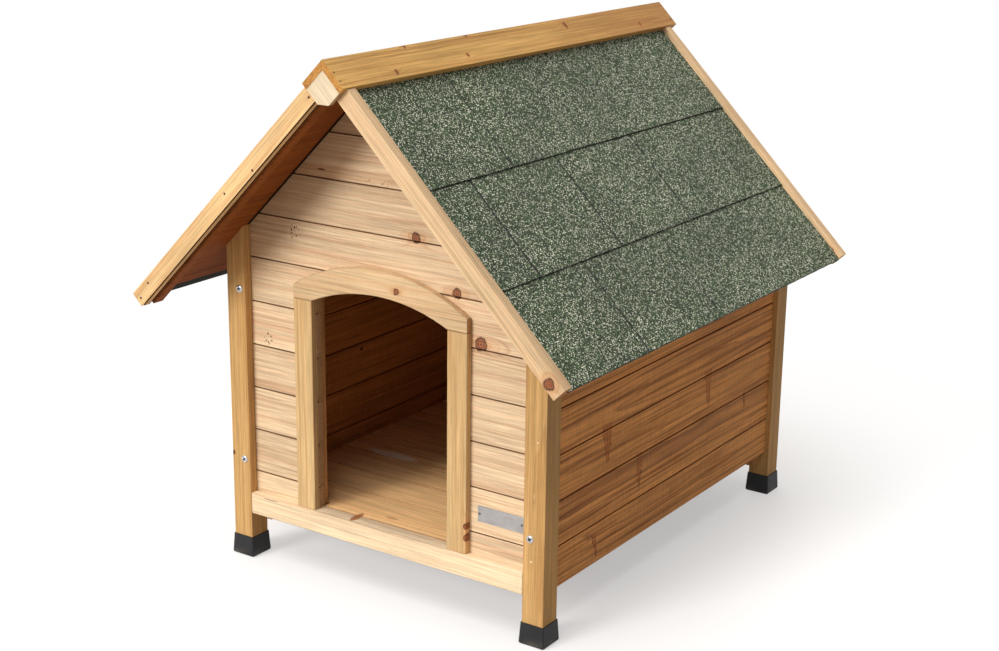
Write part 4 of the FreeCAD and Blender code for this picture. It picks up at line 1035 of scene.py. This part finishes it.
def heads(node, title, material, outward, radius, height, recess):
    """Domed heads on rings round their axes. The height is the root of 1 - (0.96 r)^2.4, nothing at the rim,
    less a cross with sloping sides in its middle."""
    turns, rings = 48, 26
    angle = np.linspace(0, 2 * math.pi, turns, endpoint=False)
    reach = np.linspace(0, 1, rings) ** 0.85
    vertices, faces, pits = [], [], []
    for top, way in head_seats(node, outward):
        side = np.cross(way, (0, 0, 1.0))
        side /= np.linalg.norm(side)
        other = np.cross(way, side)
        turn = DICE.uniform(0, math.pi)
        r, a = np.meshgrid(reach, angle, indexing="ij")
        u, v = r * np.cos(a), r * np.sin(a)
        dome = np.sqrt(np.clip(1 - (r * 0.96) ** 2.4, 0, 1))
        dome[-1] = 0
        u_cross = u * math.cos(turn) + v * math.sin(turn)
        v_cross = v * math.cos(turn) - u * math.sin(turn)
        arm = np.minimum(np.abs(u_cross), np.abs(v_cross))
        tip = np.maximum(np.abs(u_cross), np.abs(v_cross))
        sunk = np.clip((0.19 - arm) / 0.05, 0, 1) * np.clip((0.62 - tip) / 0.08, 0, 1)
        rise = height * (dome - recess * sunk)
        spots = (
            top + (rise[..., None] - height) * way
            + (radius * u)[..., None] * side + (radius * v)[..., None] * other
        )
        base = sum(len(part) for part in vertices)
        number = base + np.arange(rings * turns).reshape(rings, turns)
        after = np.roll(number, -1, 1)
        quads = np.stack((number[:-1], number[1:], after[1:], after[:-1]), -1).reshape(-1, 4)
        vertices.append(spots.reshape(-1, 3))
        faces.append(quads)
        pits.append(sunk.ravel() * float(recess > 0))
    mesh = bpy.data.meshes.new(title)
    mesh.from_pydata(np.concatenate(vertices), [], np.concatenate(faces))
    # the pit attribute marks the cross recess, which the metal darkens as painted shade
    spread(mesh, "pit", "POINT", np.concatenate(pits))
    merge = bmesh.new()
    merge.from_mesh(mesh)
    bmesh.ops.remove_doubles(merge, verts=merge.verts, dist=1e-7)
    bmesh.ops.recalc_face_normals(merge, faces=merge.faces)
    merge.to_mesh(mesh)
    merge.free()
    mesh.polygons.foreach_set("use_smooth", np.ones(len(mesh.polygons), bool))
    dressed(mesh, material, node)


def off_wall(place):
    return np.array((0, -1.0 if place[1] < 0 else 1.0, 0))


def off_roof(place):
    return RIGHT_NORMAL if place[0] > 0 else LEFT_NORMAL


heads("post_screws", "screw_heads", zinc, off_wall, 0.006, 0.0028, 0.7)
heads("plate_pins", "pin_heads", pin_steel, off_wall, 0.002, 0.0008, 0.0)
heads("cap_nails", "nail_heads", nail_steel, off_roof, 0.0017, 0.0008, 0.0)

# ---------------------------------------------------------------- camera, floor and lights

CAMERA_PLACE = Vector((1.5109, -2.2683, 1.1648))
CAMERA_TURN, CAMERA_DIP, CAMERA_ROLL = (math.radians(angle) for angle in (33.99, 16.64, 0.74))
LENS, SENSOR = 63.16, 36
FLOOR_REACH = 60.0
WHITE = (1, 1, 1, 1)


def set_camera():
    """The camera of the picture: turned from the front, dipped, and rolled a little."""
    ahead = Vector((
        -math.sin(CAMERA_TURN) * math.cos(CAMERA_DIP),
        math.cos(CAMERA_TURN) * math.cos(CAMERA_DIP),
        -math.sin(CAMERA_DIP),
    ))
    level = Vector((math.cos(CAMERA_TURN), math.sin(CAMERA_TURN), 0))
    above = level.cross(ahead)
    right = math.cos(CAMERA_ROLL) * level + math.sin(CAMERA_ROLL) * above
    top = math.cos(CAMERA_ROLL) * above - math.sin(CAMERA_ROLL) * level
    data = bpy.data.cameras.new("camera")
    data.lens = LENS
    data.sensor_width = SENSOR
    camera = bpy.data.objects.new("camera", data)
    bpy.context.collection.objects.link(camera)
    turned = Matrix((right, top, -ahead)).transposed().to_4x4()
    camera.matrix_world = Matrix.Translation(CAMERA_PLACE) @ turned
    bpy.context.scene.camera = camera


def lamp(title, bearing, height, strength, spread_angle, colour):
    """A wide soft sun that shines from a bearing, in degrees clockwise from the front, and a height."""
    data = bpy.data.lights.new(title, "SUN")
    data.energy = strength
    data.angle = math.radians(spread_angle)
    data.color = colour
    made = bpy.data.objects.new(title, data)
    bpy.context.collection.objects.link(made)
    turn, rise = math.radians(bearing), math.radians(height)
    source = Vector((math.sin(turn) * math.cos(rise), -math.cos(turn) * math.cos(rise), math.sin(rise)))
    made.rotation_mode = "QUATERNION"
    made.rotation_quaternion = source.to_track_quat("Z", "Y")


def seen_directly(w):
    """1 for rays from the camera and for those that mirrors and glass pass on."""
    path = w.add("ShaderNodeLightPath").outputs
    return w.larger(path["Is Camera Ray"], w.larger(path["Is Glossy Ray"], path["Is Transmission Ray"]))


def set_floor():
    """A pale floor that keeps the shadow near the house and fades to white away from it."""
    mesh = bpy.data.meshes.new("studio_floor")
    corners = [(x * FLOOR_REACH, y * FLOOR_REACH, 0) for x, y in ((-1, -1), (1, -1), (1, 1), (-1, 1))]
    mesh.from_pydata(corners, [], [(0, 1, 2, 3)])
    made, w, shader = new_material("studio_floor")
    point = w.place()
    seen = seen_directly(w)
    grain = w.noise(point, 30.0, 3.0)[0]
    pale = w.blend(grain, (0.93, 0.93, 0.93, 1), (0.96, 0.96, 0.96, 1))
    w.feed(shader.inputs["Base Color"], w.blend(seen, (0.36, 0.31, 0.26, 1), pale))
    w.feed(shader.inputs["Roughness"], 0.9)
    w.feed(shader.inputs["Specular IOR Level"], 0.1)
    far = w.span(w.vector("LENGTH", w.vector("SUBTRACT", point, (0.0, 0.05, 0.0))), 0.5, 1.4, 0.45, 1.0)
    bright = w.add("ShaderNodeEmission", {"Color": WHITE, "Strength": 1.0})
    inputs = {0: w.times(far, seen), 1: shader.outputs[0], 2: bright.outputs[0]}
    mixed = w.add("ShaderNodeMixShader", inputs)
    output = next(node for node in made.node_tree.nodes if node.bl_idname == "ShaderNodeOutputMaterial")
    w.feed(output.inputs["Surface"], mixed.outputs[0])
    mesh.materials.append(made)
    ground = bpy.data.objects.new("studio_floor", mesh)
    bpy.context.collection.objects.link(ground)


def set_world():
    """White behind the house, and a soft sky for its shade that is dimmer on the right."""
    world = bpy.data.worlds.new("studio")
    bpy.context.scene.world = world
    world.use_nodes = True
    world.node_tree.nodes.clear()
    w = Wiring(world.node_tree)
    way = w.add("ShaderNodeTexCoord").outputs["Generated"]
    turned = w.vector("DOT_PRODUCT", way, (-0.62, -0.62, 0.48))
    sky = w.blend(w.span(turned, -0.7, 0.9), (0.125, 0.098, 0.074, 1), (0.5, 0.49, 0.47, 1))
    shown = w.blend(seen_directly(w), sky, WHITE)
    background = w.add("ShaderNodeBackground", {"Color": shown, "Strength": 1.0})
    w.add("ShaderNodeOutputWorld", {"Surface": background.outputs[0]})


set_camera()
set_floor()
set_world()
lamp("key", -16, 25, 2.15, 22, (1.0, 0.97, 0.93))
lamp("top", 4, 72, 2.15, 50, (1.0, 0.98, 0.96))
lamp("back", 215, 30, 0.5, 40, (1.0, 0.98, 0.96))

scene = bpy.context.scene
scene.view_settings.view_transform = "Standard"
